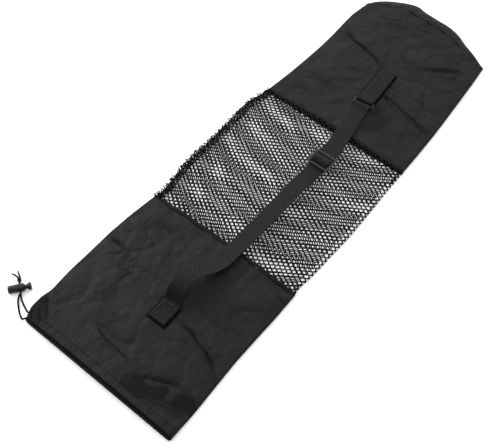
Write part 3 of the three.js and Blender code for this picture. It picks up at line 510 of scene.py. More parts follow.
def section_yz(section, spots, inset, closing=1.0):
    """y and z round a section of the tube, inset from its outer skin."""
    left, right, top_rise, edge = section
    across, turn, top = spots
    edge = edge * HEIGHT
    half = (left + right) * HALF_WIDTH / 2
    rounding = edge - inset
    y = across * (half - edge) + np.sign(across) * rounding * np.sin(np.radians(turn))
    crown = (top_rise * HEIGHT - 2 * edge) * (1 - np.abs(across) ** CROWN_POWER)
    up = rounding * np.cos(np.radians(turn)) * closing
    z = np.where(top > 0, edge + up + crown * closing, edge - up)
    return (left - right) * HALF_WIDTH / 2 + y, z


def noise_at(x, y, scale, seed):
    """Smooth noise from -1 to 1 at each place, x and y in millimetres."""
    flat = zip(np.ravel(x) / scale, np.ravel(y) / scale)
    values = [noise.noise(Vector((a, b, seed))) for a, b in flat]
    return np.array(values).reshape(np.shape(x))


def ridges_at(x, y, scale, seed):
    """Sharp-crested folds from 0 to 1."""
    bent = noise_at(x, y, scale * 1.7, seed + 3.1) * scale * 0.5
    return (1 - np.abs(noise_at(x + bent, y - bent, scale, seed)) * 1.9).clip(0, 1) ** 3


def inside_at(x, y, corners, soft):
    """1 well inside the corners, 0 outside."""
    within = np.zeros(np.shape(x), bool)
    best = np.full(np.shape(x), 1e9)
    for (ax, ay), (bx, by) in zip(corners, corners[1:] + corners[:1]):
        crosses = (ay > y) != (by > y)
        edge_x = ax + (y - ay) * (bx - ax) / (by - ay if by != ay else 1e-9)
        within ^= crosses & (x < edge_x)
        way_x, way_y = bx - ax, by - ay
        share = ((x - ax) * way_x + (y - ay) * way_y) / (way_x**2 + way_y**2)
        share = np.clip(share, 0, 1)
        best = np.minimum(best, np.hypot(x - ax - share * way_x, y - ay - share * way_y))
    return np.where(within, rise(best, 0, soft), 0)


def shade_beside_sewn(x, y):
    """Painted shade: 1 where the cloth meets the edges of the sewn patch and tab."""
    across = np.abs(y - smooth_side(x)) - STRAP_WIDTH / 2
    close = np.zeros(np.shape(x))
    for start, end in ((PATCH_START, PATCH_START + PATCH_LENGTH), (TAB_END - TAB_SHADE, TAB_END)):
        along = np.maximum(start - x, x - end)
        close = np.maximum(close, 1 - rise(np.maximum(along, across), 2.0, 3.8))
    return close


def painted_shade_at(skin):
    """How much painted shade the top cloth gets in its creases, its darkened stretches and beside the
    sewn patch and tab, from 0 to 1.
    """
    x, y = skin[..., 0], skin[..., 1]
    total = np.maximum(0.9 * creases_at(x, y)[1], shade_beside_sewn(x, y))
    for corners, dark, soft in PAINTED_SHADE_PATCHES:
        total = np.maximum(total, dark * inside_at(x, y, corners, soft))
    return np.where(SPOTS[2] > 0, np.clip(total, 0, 1), 0)


def creases_at(x, y):
    """Depth of the named creases, in millimetres, down from the cloth, and how much painted shade lies
    along them.
    """
    total = np.zeros(np.shape(x))
    dark = np.zeros(np.shape(x))
    for points, depth, width, step in CREASES:
        points = np.array(points, float)
        lengths = np.linalg.norm(np.diff(points, axis=0), axis=1)
        whole = lengths.sum()
        best = np.full(np.shape(x), 1e9)
        side = np.zeros(np.shape(x))
        run = np.zeros(np.shape(x))
        passed = 0.0
        for start, end, length in zip(points[:-1], points[1:], lengths):
            way = (end - start) / length
            dx, dy = x - start[0], y - start[1]
            along = dx * way[0] + dy * way[1]
            held = np.clip(along, 0, length)
            away = np.hypot(dx - held * way[0], dy - held * way[1])
            nearer = away < best
            best = np.where(nearer, away, best)
            side = np.where(nearer, dy * way[0] - dx * way[1], side)
            run = np.where(nearer, passed + held, run)
            passed += length
        fade = np.clip(np.minimum(run, whole - run) / (0.3 * whole), 0, 1)
        fade = 0.15 + 0.85 * fade * fade * (3 - 2 * fade)
        valley = 1.3 * depth * np.exp(-((best / (0.8 * width)) ** 2))
        ridge = 0.5 * depth * np.exp(-(((side + 2.1 * width) / (1.1 * width)) ** 2))
        ridge = ridge * (best < 5 * width)
        shelf = 1.7 * step * np.tanh(side / width) * np.exp(-((best / (4 * width)) ** 2))
        total += fade * (valley - ridge + shelf)
        # A stroke of painted shade beside each crease's valley
        crease_shade_stroke = np.exp(-((side + 0.3 * width) / (0.85 * width)) ** 2)
        crease_shade_stroke = min(depth / 2.0, 1.0) * fade * crease_shade_stroke
        dark = np.maximum(dark, crease_shade_stroke * (1 - rise(best, 1.5 * width, 2.5 * width)))
    return total, dark


def strap_spot(x):
    """Share of half the width and roll in degrees of the strap's line."""
    share = np.asarray(x, float) / SIDE_LENGTH
    return [np.interp(share, STRAP_LINE[:, 0], STRAP_LINE[:, column]) for column in (1, 2)]


def smooth_side(x):
    """y of the strap's line, rounded off where the table's rows meet."""
    return np.mean([strap_spot(x + step)[0] * HALF_WIDTH for step in (-12, -6, 0, 6, 12)], axis=0)


def strap_heading(x):
    """Slope of the strap's line as seen from above."""
    return (smooth_side(x + 4) - smooth_side(x - 4)) / 8


def under_strap(x, y):
    """1 where the strap, its patch or its tab lies on the cloth, 0 a little way off."""
    away = np.abs(y - smooth_side(x)) - STRAP_WIDTH / 2
    beside = 1 - np.clip(away / 14, 0, 1)
    arch = np.clip((x - 130) / 20, 0, 1) * np.clip((216 - x) / 20, 0, 1)
    reach = np.clip((x - 84) / 14, 0, 1) * np.clip((TAB_END + 14 - x) / 14, 0, 1)
    return beside * reach * (1 - arch)


def relief(x, y, across, strength=1.0):
    """How far the top cloth lies under the bag's outer skin, in millimetres."""
    quiet = 1 - under_strap(x, y)
    soft = 0.5 + 0.5 * noise_at(x, y, 62, 4.0)
    folds = ridges_at(x, y, 46, 11.0)
    fine = ridges_at(x, y, 17, 23.0) * (0.35 + 0.65 * soft)
    rough = 1.3 * soft + 1.7 * folds + 0.25 * fine
    depth = strength * rough * (0.15 + 0.85 * quiet) + creases_at(x, y)[0] * (0.25 + 0.75 * quiet)
    return np.maximum(depth, 0.02) * (1 - np.abs(across) ** 6)


def panel_skin(start, length, sections, along, inset, wrinkled=None, seam_reach=0.0):
    """A skin of a panel: rows at the shares along, each once round the tube."""
    section = spread(sections, along)
    across, turn, top = SPOTS
    y, z = section_yz(section, SPOTS, inset)
    x = start + along[:, None] * length + np.zeros_like(y)
    if seam_reach:
        ramp = np.clip((along - SEAM_RAMP) / (1 - SEAM_RAMP), 0, None)[:, None] ** 2
        x = x + ramp * seam_reach * reach_at(y, section[0], section[1])
    if wrinkled is not None:
        z = z - np.where(top > 0, wrinkled(x, y, across), 0)
        floor_ripple = 0.25 + 0.25 * noise_at(x, y, 38, 31.0)
        z = z + np.where((top == 0) & (turn == 0), floor_ripple * (1 - across**4), 0)
    return np.stack([x, y, z], axis=-1)


def rise(value, low, high):
    """0 below low, 1 above high, smooth between."""
    share = np.clip((value - low) / (high - low), 0, 1)
    return share * share * (3 - 2 * share)


def pucker(distance, place, reach, pitch, height):
    """Small gathers beside a row of stitches."""
    return height * np.exp(-np.abs(distance) / reach) * (0.5 + 0.5 * np.sin(2 * np.pi * place / pitch))


def shell_piece(name, outer, inner, painted_shade_and_sewn_tone, replaced, open_faces=None, closed_end=False):
    """One nylon shell of an outer and an inner skin, each rows by places by three."""
    rows, places = outer.shape[:2]
    inner_rows = inner.shape[0]
    vertices = np.concatenate([outer.reshape(-1, 3), inner.reshape(-1, 3)])
    shell = grid_faces(rows, places, loop=True)[:, ::-1]
    if open_faces is not None:
        shell = shell[~open_faces.ravel()]
    faces = [shell, grid_faces(inner_rows, places, loop=True, first=rows * places)]
    ring = np.arange(places)
    after = (ring + 1) % places
    start = rows * places
    faces.append(np.stack([ring, start + ring, start + after, after], axis=1)[:, ::-1])
    if not closed_end:
        last, inner_last = (rows - 1) * places, start + (inner_rows - 1) * places
        closing = [last + ring, last + after, inner_last + after, inner_last + ring]
        faces.append(np.stack(closing, axis=1)[:, ::-1])
    piece = add_mesh(name, to_row(vertices), np.concatenate(faces), NYLON)
    darken(piece, np.concatenate([painted_shade_and_sewn_tone.ravel(), np.zeros(inner_rows * places)]))
    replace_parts(piece, replaced)


def darken(piece, values):
    """Keep with each corner how much painted shade it gets, and on the webbing how much darker its
    sewn stretches are.
    """
    layer = piece.data.attributes.new("painted_shade_and_sewn_tone", "FLOAT", "POINT")
    layer.data.foreach_set("value", np.asarray(values, np.float32))


TOP_STEPS, BOTTOM_STEPS = 156, 40
SPOTS = round_spots(TOP_STEPS, BOTTOM_STEPS)


def mouth_skin(along, inset, wrinkled=None):
    shares = along / MOUTH_LENGTH
    return panel_skin(0, MOUTH_LENGTH, MOUTH_SECTIONS, shares, inset, wrinkled)


def mouth_panel():
    edge_roll = 2.4
    last = MOUTH_LENGTH - 0.15
    rim = edge_roll * (1 - np.cos(np.linspace(0, np.pi / 2, 7)))
    channel = np.arange(3.2, 20, 0.8)
    along = np.concatenate([rim, channel, np.arange(20.8, MOUTH_LENGTH - 0.2, CLOTH_STEP), [last]])

    def rolled(places):
        """How far the rolled edge has come round at each place."""
        to_go = edge_roll - np.minimum(places, edge_roll)
        return np.sqrt(np.clip(edge_roll**2 - to_go**2, 0, None))

    def wrinkled(x, y, across):
        clear = rise(x, HEM_PLACE, HEM_PLACE + 26)
        groove = 0.75 * np.exp(-(((x - HEM_PLACE) / 0.9) ** 2))
        gathers = pucker(x - HEM_PLACE, y + 3 * noise_at(x, y, 30, 2.0), 5.0, 6.4, 0.5)
        lumps = 0.35 + 0.35 * noise_at(x * 0.5, y, 16, 41.0)
        lumps = lumps * rise(x, 1, 5) * (1 - rise(x, HEM_PLACE - 2, HEM_PLACE))
        end = pucker(x - MOUTH_LENGTH, y, 5.0, 7.3, 0.4)
        body = relief(x, y, across) * (0.12 + 0.88 * clear)
        return body + groove + gathers + lumps + end

    inset = np.where(along < edge_roll, edge_roll - rolled(along), 0)
    outer = mouth_skin(along, inset[:, None], wrinkled)
    channel_end = [8, CHANNEL_LENGTH - 0.4, CHANNEL_LENGTH]
    inner_along = np.concatenate([rim, channel_end, np.linspace(18, last, 26)])
    deep = CHANNEL_DEPTH - edge_roll + rolled(inner_along)
    inner_inset = np.where(inner_along < CHANNEL_LENGTH - 0.1, deep, 2.6)
    inner_inset = np.where(inner_along >= 18, 3.4, inner_inset)
    edge = spread(MOUTH_SECTIONS, inner_along / MOUTH_LENGTH)[3][:, 0] * HEIGHT
    inner = mouth_skin(inner_along, np.minimum(inner_inset, 0.86 * edge)[:, None])
    middle_x = (outer[:-1, :, 0] + outer[1:, :, 0]) / 2
    places = outer.shape[1]
    side = (SPOTS[0] == 1) & (SPOTS[1] > 40)
    side = side & side[(np.arange(places) + 1) % places]
    # The channel stays unsewn at the left side, where the cord comes out
    slit = side[None, :] & (middle_x > EXIT_START) & (middle_x < EXIT_END)
    # A band of painted shade along the first few millimetres from the mouth edge
    painted_shade_and_sewn_tone = np.maximum(painted_shade_at(outer), 1 - rise(outer[..., 0], 2.8, 4.4))
    shell_piece("mouth_tube", outer, inner, painted_shade_and_sewn_tone, "mouth_panel", slit)
    return outer


def base_panel():
    first = 0.15

    def skin(along, inset, wrinkled=None):
        shares = along / BASE_LENGTH
        return panel_skin(
            BASE_START, BASE_LENGTH, BASE_SECTIONS, shares, inset, wrinkled, BASE_SEAM_REACH
        )

    def wrinkled(x, y, across):
        return relief(x, y, across, 0.85) + pucker(x - BASE_START, y, 5.0, 7.1, 0.4)

    along = np.concatenate([[first], np.arange(1.6, BASE_LENGTH, CLOTH_STEP), [BASE_LENGTH]])
    outer = skin(along, 0, wrinkled)
    # The seam that joins the base dips a little under both cloths
    for row, depth in zip((-1, -2, -3), (0.9, 0.35, 0.1)):
        outer[row, :, 2] -= np.where(SPOTS[2] > 0, depth, 0)
        outer[row, :, 2] = np.maximum(outer[row, :, 2], 0.0)
    inner = skin(np.linspace(first, BASE_LENGTH, 28), 3.0)
    shell_piece("base_tube", outer, inner, painted_shade_at(outer), "base_panel")
    return outer


def base_disc():
    along = np.sin(np.linspace(0, np.pi / 2, 30))
    left, right, top, edge = BASE_SECTIONS[-1][1:]
    section = [np.full((len(along), 1), value) for value in (left, right, top, edge)]

    def skin(inset, fold):
        closing = np.sqrt(np.clip(1 - along**2, 0, None))[:, None]
        y, z = section_yz(section, SPOTS, inset, closing)
        reach = reach_at(y, left, right)
        seam = SIDE_LENGTH + GAP + reach * BASE_SEAM_REACH
        end = SIDE_LENGTH + BASE_SIDE - fold + reach * BASE_REACH
        x = seam + along[:, None] * (end - seam)
        return np.stack([x, y, z], axis=-1)

    outer = skin(0, 0)
    x, y = outer[..., 0], outer[..., 1]
    lift = np.where(SPOTS[2] > 0, relief(x, y, SPOTS[0], 0.7), 0) * (1 - along[:, None] ** 2)
    outer[..., 2] -= np.minimum(lift, 0.35 * outer[..., 2])
    dip = np.where(SPOTS[2] > 0, 0.9, 0) * np.exp(-(((x - x[:1]) / 1.6) ** 2))
    outer[..., 2] = np.maximum(outer[..., 2] - dip, 0)
    inner = skin(1.2, 3.2)
    shell_piece("base_round", outer, inner, painted_shade_at(outer), "base_disc", closed_end=True)


# ---- Net ----
# Half the way round the net tube, and the part of it that goes round a side's edge, in millimetres
HALF_ROUND, EDGE_ROUND = 243.7, 5.15
# The net's two sides as they lie: from, to round the tube, then the holes' pitch along the bag,
# the rows' distance and the length of a joint
NET_LAYERS = [
    (-7.0, HALF_ROUND + 9.0, 7.0, 4.97, 1.1),
    (HALF_ROUND + 8.0, 2 * HALF_ROUND - 6.0, 6.12, 5.13, 1.1),
]
STRAND_WIDTH, STRAND_THICK = 1.7, 0.62
SEAM_PLACE, SEAM_WIDTH, SEAM_THICK = 1.9, 5.2, 1.6


def net_surface(along, around, inset):
    """Places on the net tube: along from its start, around from the left edge over the top."""
    turn_length = EDGE_ROUND / HALF_ROUND
    share = np.mod(around / HALF_ROUND, 2)
    top = share < 1
    part = np.where(top, share, share - 1)
    first = part < turn_length
    last = part > 1 - turn_length
    across = 1 - 2 * np.clip((part - turn_length) / (1 - 2 * turn_length), 0, 1)
    turn = np.where(last, 90 * (part - 1 + turn_length) / turn_length, 0)
    turn = np.where(first, 90 * (1 - part / turn_length), turn)
    across = np.where(top, across, -across)
    side = np.where(across == 0, 1e-6, across)
    section = [column[:, 0] for column in spread(NET_SECTIONS, np.clip(along / NET_LENGTH, 0, 1))]
    y, z = section_yz(section, (side, turn, top.astype(float)), inset)
    ripple = 0.5 + 0.5 * np.sin(along / 23.0 + around / 31.0) * np.cos(along / 37.0 - around / 29.0)
    quiet = 1 - under_strap(NET_START + along, y)
    z = z - np.where(top & (turn == 0), 1.1 * ripple * quiet * (1 - np.abs(across) ** 6), 0)
    return np.stack([NET_START + along, y, z], axis=-1)


def bowed(points):
    """Rows of the net hang in a shallow bow between the seams."""
    around = points[:, 1]
    y = np.where(around < HALF_ROUND, HALF_ROUND / 2 - around, around - 1.5 * HALF_ROUND)
    sway = 1.1 * np.sin(points[:, 0] / 19.0 + y / 27.0) + 0.8 * np.sin(points[:, 0] / 41.0 - y / 16.0)
    along = points[:, 0] + 0.00035 * y**2 - 0.008 * y + 0.4 * sway
    return np.stack([along, around + 0.5 * sway], axis=-1)


def lattice(low, high, left, right, pitch, row, upright, turn=0.0, jitter=0.0):
    """Ends of the strands of a six-sided net, in along and around, kept within four limits."""
    cos, sin = math.cos(turn), math.sin(turn)
    size = math.hypot(high - low, right - left) / 2 + 4 * pitch
    middle = np.array([(low + high) / 2, (left + right) / 2])
    columns = np.arange(-int(size / pitch) - 1, int(size / pitch) + 2)
    lines = np.arange(-int(size / row) - 1, int(size / row) + 2)
    line, column = np.meshgrid(lines, columns, indexing="ij")
    centre = np.stack([(column + 0.5 * (line % 2)) * pitch, line * row], axis=-1).reshape(-1, 2)
    right_low = centre + [pitch / 2, -upright / 2]
    right_high = centre + [pitch / 2, upright / 2]
    top = centre + [0, row - upright / 2]
    left_high = centre + [-pitch / 2, upright / 2]
    starts = np.concatenate([right_low, right_high, top])
    ends = np.concatenate([right_high, top, left_high])

    def shifted(points):
        # A node shifts by the same amount for all the strands that meet there
        key = np.round(points / 0.1).astype(int)
        first = np.sin(key[:, 0] * 12.9898 + key[:, 1] * 78.233)
        second = np.sin(key[:, 0] * 39.425 + key[:, 1] * 11.135)
        return points + jitter * np.stack([first, second], axis=-1)

    spin = np.array([[cos, -sin], [sin, cos]])
    starts, ends = (bowed(shifted(points) @ spin.T + middle) for points in (starts, ends))
    along, around = ((starts + ends) / 2).T
    kept = (along > low) & (along < high) & (around > left) & (around < right)
    return starts[kept], ends[kept]


def strands(name, starts, ends, width, thick, inset, loose=0.0):
    """Flattened six-sided strands between places on the net tube, some of them loose by so much."""
    def at(points, deep):
        key = np.round(points * 7) @ [12.9898, 4.1414]
        stray = loose * np.clip(np.sin(key), 0, 1) ** 2
        return net_surface(np.clip(points[:, 0], 0.2, NET_LENGTH - 0.2), points[:, 1], deep - stray)

    first, second = at(starts, inset), at(ends, inset)
    middle = (starts + ends) / 2
    outward = at(middle, inset - 0.5) - at(middle, inset + 0.5)
    outward /= np.linalg.norm(outward, axis=1)[:, None]
    ahead = second - first
    length = np.linalg.norm(ahead, axis=1)[:, None]
    ahead = ahead / length
    first, second = first - ahead * width * 0.22, second + ahead * width * 0.22
    beside = np.cross(outward, ahead)
    beside /= np.linalg.norm(beside, axis=1)[:, None]
    profile = [(0.5, 0), (0.27, 0.5), (-0.27, 0.5), (-0.5, 0), (-0.27, -0.5), (0.27, -0.5)]
    rings = []
    for point in (first, second):
        rings += [point + beside * width * a + outward * thick * b for a, b in profile]
    vertices = np.stack(rings, axis=1).reshape(-1, 3)
    sides = len(profile)
    local = grid_faces(2, sides, loop=True)
    faces = (local[None] + 2 * sides * np.arange(len(starts))[:, None, None]).reshape(-1, 4)
    vertices[:, 2] = np.maximum(vertices[:, 2], 0.03)
    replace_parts(add_mesh(name, to_row(vertices), faces, NET), "mesh_panel")


def net_panel():
    layers = [lattice(2.0, NET_LENGTH - 2.0, *layer, jitter=0.16) for layer in NET_LAYERS]
    starts, ends = (np.concatenate(part) for part in zip(*layers))
    strands("net_tube", starts, ends, STRAND_WIDTH, STRAND_THICK, 0.5)
    # The side seam's allowance doubles the net along the left edge
    turn = math.radians(-24)
    starts, ends = lattice(1.0, NET_LENGTH - 1.0, -9.5, 15.0, 4.1, 3.3, 1.6, turn, 0.4)
    wobble = 12.0 + 2.2 * np.sin(starts[:, 0] / 9.0) + 1.2 * np.sin(starts[:, 0] / 4.1 + 1.0)
    near = (starts[:, 1] < wobble) & (ends[:, 1] < wobble)
    strands("net_seam_allowance", starts[near], ends[near], 1.5, 0.9, 0.0, loose=3.4)


def band_round(name, places, surface, width, height):
    """A soft rolled strip that follows a line of places all round the net tube."""
    centre = surface(places, 0.0)
    outward = surface(places, -0.5) - surface(places, 0.5)
    outward /= np.linalg.norm(outward, axis=1)[:, None]
    ahead = np.array([1.0, 0, 0])
    profile = [(math.cos(a), math.sin(a)) for a in np.linspace(0, 2 * np.pi, 10, endpoint=False)]
    rings = [centre + ahead * width / 2 * a + outward * height / 2 * b for a, b in profile]
    rings = np.stack(rings, axis=1)
    rings[..., 2] = np.maximum(rings[..., 2], 0.02)
    count, sides = rings.shape[:2]
    first = np.arange(sides)
    first_after = (first + 1) % sides
    last, last_after = (count - 1) * sides + first, (count - 1) * sides + first_after
    closing = np.stack([last, last_after, first_after, first], axis=1)
    faces = np.concatenate([grid_faces(count, sides, loop=True), closing])
    piece = add_mesh(name, to_row(rings.reshape(-1, 3)), faces, NET)
    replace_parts(piece, "mesh_panel")


def net_seams():
    around = np.linspace(0, 2 * HALF_ROUND, 260, endpoint=False)
    ends = (("net_seam_low", SEAM_PLACE), ("net_seam_high", NET_LENGTH - SEAM_PLACE))
    for name, along in ends:
        def surface(places, inset, along=along):
            wander = 0.35 * np.sin(places / 7.0) + 0.2 * np.sin(places / 3.1)
            return net_surface(along + wander, places, inset + 0.45)

        band_round(name, around, surface, SEAM_WIDTH, SEAM_THICK)


# ---- Webbing ----
def resting_lift(x):
    """Lift of the strap's middle where a rolled strap rests on its lower edge."""
    tilt = abs(math.sin(math.radians(float(strap_spot(x)[1]))))
    return LAYER_LOW + tilt * STRAP_WIDTH / 2


def half_turn(x, lift, radius, start, end, steps=10):
    angles = np.radians(np.linspace(start, end, steps + 1))
    return [(x + radius * math.cos(a), lift + radius * math.sin(a)) for a in angles]


def strap_run():
    patch_end = PATCH_START + PATCH_LENGTH
    run = [(patch_end - PATCH_TUCK, LAYER_LOW), (PATCH_START + 12, LAYER_LOW)]
    run += half_turn(PATCH_START + FOLD_RADIUS, (LAYER_LOW + LAYER_HIGH) / 2, FOLD_RADIUS, 270, 90)
    run += [(PATCH_START + PATCH_LENGTH / 2, LAYER_HIGH), (patch_end, LAYER_HIGH)]
    for share, lift in STRAP_ARCH:
        x = patch_end + share * ARCH_LENGTH
        run.append((x, max(LAYER_HIGH + lift * ARCH_HEIGHT, resting_lift(x))))
    arch_end, flat_end = patch_end + ARCH_LENGTH, SLIDER_PLACE - SLIDER_LENGTH
    run += [(x, resting_lift(x)) for x in np.linspace(arch_end, flat_end, 25)[1:]]
    run += [(SLIDER_PLACE + away * SLIDER_LENGTH / 2, lift) for away, lift in SLIDER_WAY]
    near_bar = RING_PLACE - RING_BAR
    upper = np.linspace(SLIDER_PLACE + SLIDER_LENGTH, near_bar - LOOP_TAPER, 16)
    run += [(x, LAYER_HIGH) for x in upper]
    run.append((near_bar - LOOP_TAPER / 2, RING_HEIGHT + RING_WRAP - LOOP_SAG))
    run += half_turn(near_bar, RING_HEIGHT, RING_WRAP, 90, -90)
    run += [(x, LAYER_LOW) for x in upper[::-1]]
    run += [(SLIDER_PLACE + 0.63 * SLIDER_LENGTH / 2, LAYER_LOW)]
    run += [(SLIDER_PLACE + 0.207 * SLIDER_LENGTH / 2, BAR_HEIGHT - WRAP_RADIUS)]
    run += half_turn(SLIDER_PLACE - MIDDLE_BAR / 2, BAR_HEIGHT, WRAP_RADIUS, 270, 90)
    run.append((SLIDER_PLACE + 0.111 * SLIDER_LENGTH / 2, BAR_HEIGHT + WRAP_RADIUS))
    return run


def tab_run():
    far_bar = RING_PLACE + RING_BAR
    drop = RING_HEIGHT + RING_WRAP - LAYER_HIGH
    run = [(TAB_END, LAYER_LOW), (TAB_END - TAB_SEWN, LAYER_LOW)]
    run += [(far_bar + away * TAB_TAPER, LAYER_LOW) for away, lift in TAB_RISE[::-1]]
    run += half_turn(far_bar, RING_HEIGHT, RING_WRAP, 270, 90)
    run += [(far_bar + away * TAB_TAPER, LAYER_HIGH + lift * drop) for away, lift in TAB_RISE]
    return run + [(TAB_END - TAB_SEWN, LAYER_HIGH), (TAB_END, LAYER_HIGH)]


def rounded_run(run, rounds=2, step=2.2):
    """Corners cut off, then long straight stretches divided."""
    points = np.array(run, float)
    for _ in range(rounds):
        quarter = 0.75 * points[:-1] + 0.25 * points[1:]
        three = 0.25 * points[:-1] + 0.75 * points[1:]
        cut = np.stack([quarter, three], axis=1).reshape(-1, 2)
        points = np.concatenate([points[:1], cut, points[-1:]])
    result = [points[0]]
    for point in points[1:]:
        length = np.linalg.norm(point - result[-1])
        pieces = max(1, int(length / step))
        start = result[-1]
        result += [start + (point - start) * k / pieces for k in range(1, pieces + 1)]
    result = np.array(result)
    keep = np.concatenate([[True], np.linalg.norm(np.diff(result, axis=0), axis=1) > 0.05])
    return result[keep]


def webbing_frames(run):
    """The webbing's middle line, the ways across and up at each place, and the length so far."""
    x, lift = run[:, 0], run[:, 1]
    centre = np.stack([x, smooth_side(x), STRAP_BED + lift], axis=1)
    forward = np.gradient(centre, axis=0)
    forward /= np.linalg.norm(forward, axis=1)[:, None]
    heading = np.arctan(strap_heading(x))
    tilt = np.radians(strap_spot(x)[1])
    wide = [-np.sin(heading) * np.cos(tilt), np.cos(heading) * np.cos(tilt), np.sin(tilt)]
    wide = np.stack(wide, axis=1)
    up = np.cross(forward, wide)
    up /= np.linalg.norm(up, axis=1)[:, None]
    length = np.concatenate([[0], np.cumsum(np.linalg.norm(np.diff(centre, axis=0), axis=1))])
    return centre, wide, up, length


def webbing_piece(name, run, sewn, replaced):
    """Webbing along a run, a little darker where it is sewn down, with painted shade where its upper
    face turns toward the mouth.
    """
    centre, wide, up, length = webbing_frames(rounded_run(run))
    half, thick = STRAP_WIDTH / 2, STRAP_THICK / 2
    flat = np.linspace(-half + 1.4, half - 1.4, 9)
    upper = [(-half + 0.15, 0.35), (-half + 0.55, 0.92)] + [(w, 1) for w in flat]
    upper += [(half - 0.55, 0.92), (half - 0.15, 0.35)]
    profile = upper + [(w, -t) for w, t in upper[::-1]]
    rings, uvs = [], []
    for w, t in profile:
        waver = 0.12 * np.sin(length / 5.3 + w) * (abs(w) > half - 1)
        rings.append(centre + wide * (w + waver[:, None]) + up * (t * thick))
        uvs.append(np.stack([np.full(len(length), w * MM), length * MM], axis=1))
    rings, uvs = np.stack(rings, axis=1), np.stack(uvs, axis=1)
    count, sides = rings.shape[:2]
    vertices = to_row(rings.reshape(-1, 3))
    faces = capped_faces(count, sides)
    piece = add_mesh(name, vertices, faces, WEBBING, uvs=uvs.reshape(-1, 2))
    sewn_darker = 0.35 * (1 - rise(centre[:, 0], sewn - 1, sewn + 1))
    # The side of the arch that faces the mouth gets painted shade
    shaded = 0.8 * rise(-up[:, 0], 0.35, 0.75)
    darken(piece, np.repeat(np.maximum(shaded, sewn_darker), sides))
    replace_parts(piece, replaced)


# ---- Stitches ----
def stitch_row(path, pitch=3.0, share=0.72, radius=0.2, lift=0.1, steps=4, sides=5):
    """Corners and faces of a row of thread stitches along a line of places."""
    path = np.asarray(path, float)
    spans = np.linalg.norm(np.diff(path, axis=0), axis=1)
    passed = np.concatenate([[0], np.cumsum(spans)])
    count = max(1, int(passed[-1] / pitch))
    vertices, faces = [], []
    for index in range(count):
        start = (index + 0.15) * passed[-1] / count
        places = start + np.linspace(0, share * passed[-1] / count, steps + 1)
        line = np.stack([np.interp(places, passed, path[:, axis]) for axis in range(3)], axis=1)
        arch = np.sin(np.linspace(0, np.pi, steps + 1))
        line[:, 2] += lift * (2 * arch - 1)
        ahead = line[-1] - line[0]
        ahead /= max(np.linalg.norm(ahead), 1e-9)
        beside = np.cross([0, 0, 1.0], ahead)
        beside /= max(np.linalg.norm(beside), 1e-9)
        above = np.cross(ahead, beside)
        first = len(vertices)
        for place, full in zip(line, 0.55 + 0.45 * arch):
            for side in range(sides):
                angle = 2 * math.pi * side / sides
                out = math.cos(angle) * beside + math.sin(angle) * above
                vertices.append(place + radius * full * out)
        faces += (grid_faces(steps + 1, sides, loop=True) + first).tolist()
    return vertices, faces


def stitches(name, paths, material, **options):
    """Rows of stitches along some lines, all in one piece."""
    vertices, faces = [], []
    for path in paths:
        more, quads = stitch_row(path, **options)
        faces += [[corner + len(vertices) for corner in quad] for quad in quads]
        vertices += more
    return add_mesh(name, to_row(vertices), faces, material)


def on_webbing(x, w, lift):
    """A place on the webbing's upper face, w to the left of its middle."""
    return (x, float(smooth_side(x)) + w, STRAP_BED + lift + STRAP_THICK / 2)


def box_and_cross(x0, x1):
    """A sewn box with its diagonals."""
    corners = [(x0, -BOX_HALF), (x1, -BOX_HALF), (x1, BOX_HALF), (x0, BOX_HALF)]
    a, b, c, d = [on_webbing(x, w, LAYER_HIGH) for x, w in corners]
    return [[a, b], [b, c], [c, d], [d, a], [a, c], [b, d]]


def surface_line(grid, row):
    """The top line of a panel's skin along one of its rows."""
    top = (SPOTS[2] > 0) & (SPOTS[1] == 0)
    return grid[row][top]


# ---- Small solid parts ----
def turned_piece(name, profile, body, slot_along, slot_length, node, sides=48):
    """A turned part on the lock's axis with a straight slot for the cord."""
    rings = []
    angles = 2 * np.pi * np.arange(sides) / sides
    for along, radius in profile:
        ring = [np.full(sides, along), radius * np.cos(angles), radius * np.sin(angles)]
        rings.append(np.stack(ring, axis=1))
    vertices = np.concatenate(rings) * MM
    faces = grid_faces(len(profile), sides, loop=True)[:, ::-1]
    turn = Matrix.Translation(LOCK_CENTRE) @ Matrix.Rotation(LOCK_TURN, 4, "Z")
    piece = add_mesh(name, [turn @ Vector(v) for v in vertices], faces, LOCK, body)
    held = bmesh.new()
    held.from_mesh(piece.data)
    bmesh.ops.remove_doubles(held, verts=held.verts, dist=1e-6)
    bmesh.ops.recalc_face_normals(held, faces=held.faces)
    held.to_mesh(piece.data)
    held.free()
    cutter_mesh = bpy.data.meshes.new("cutter")
    cutter = bpy.data.objects.new("cutter", cutter_mesh)
    bpy.context.scene.collection.objects.link(cutter)
    box = bmesh.new()
    bmesh.ops.create_cube(box, size=1.0)
    through, slot_height = 4 * LOCK_RADIUS * MM, 5.7 * MM
    size = Matrix.Diagonal((slot_length * MM, through, slot_height, 1))
    place = turn @ Matrix.Translation((slot_along * MM, 0, 0)) @ size
    bmesh.ops.transform(box, matrix=place, verts=box.verts)
    rounded = [edge for edge in box.edges if abs(edge.calc_length() - through) < 1e-6]
    bmesh.ops.bevel(box, geom=rounded, offset=0.9 * MM, segments=3, affect="EDGES", profile=0.5)
    box.to_mesh(cutter_mesh)
    box.free()
    cut = piece.modifiers.new("slot", "BOOLEAN")
    cut.operation, cut.object, cut.solver = "DIFFERENCE", cutter, "EXACT"
    apply_modifiers(piece)
    bpy.data.objects.remove(cutter)
    shade_by_angle(piece)
    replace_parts(piece, node)
    return piece


def apply_modifiers(piece):
    depsgraph = bpy.context.evaluated_depsgraph_get()
    evaluated = piece.evaluated_get(depsgraph)
    made = bpy.data.meshes.new_from_object(evaluated, depsgraph=depsgraph)
    old = piece.data
    piece.modifiers.clear()
    piece.data = made
    bpy.data.meshes.remove(old)


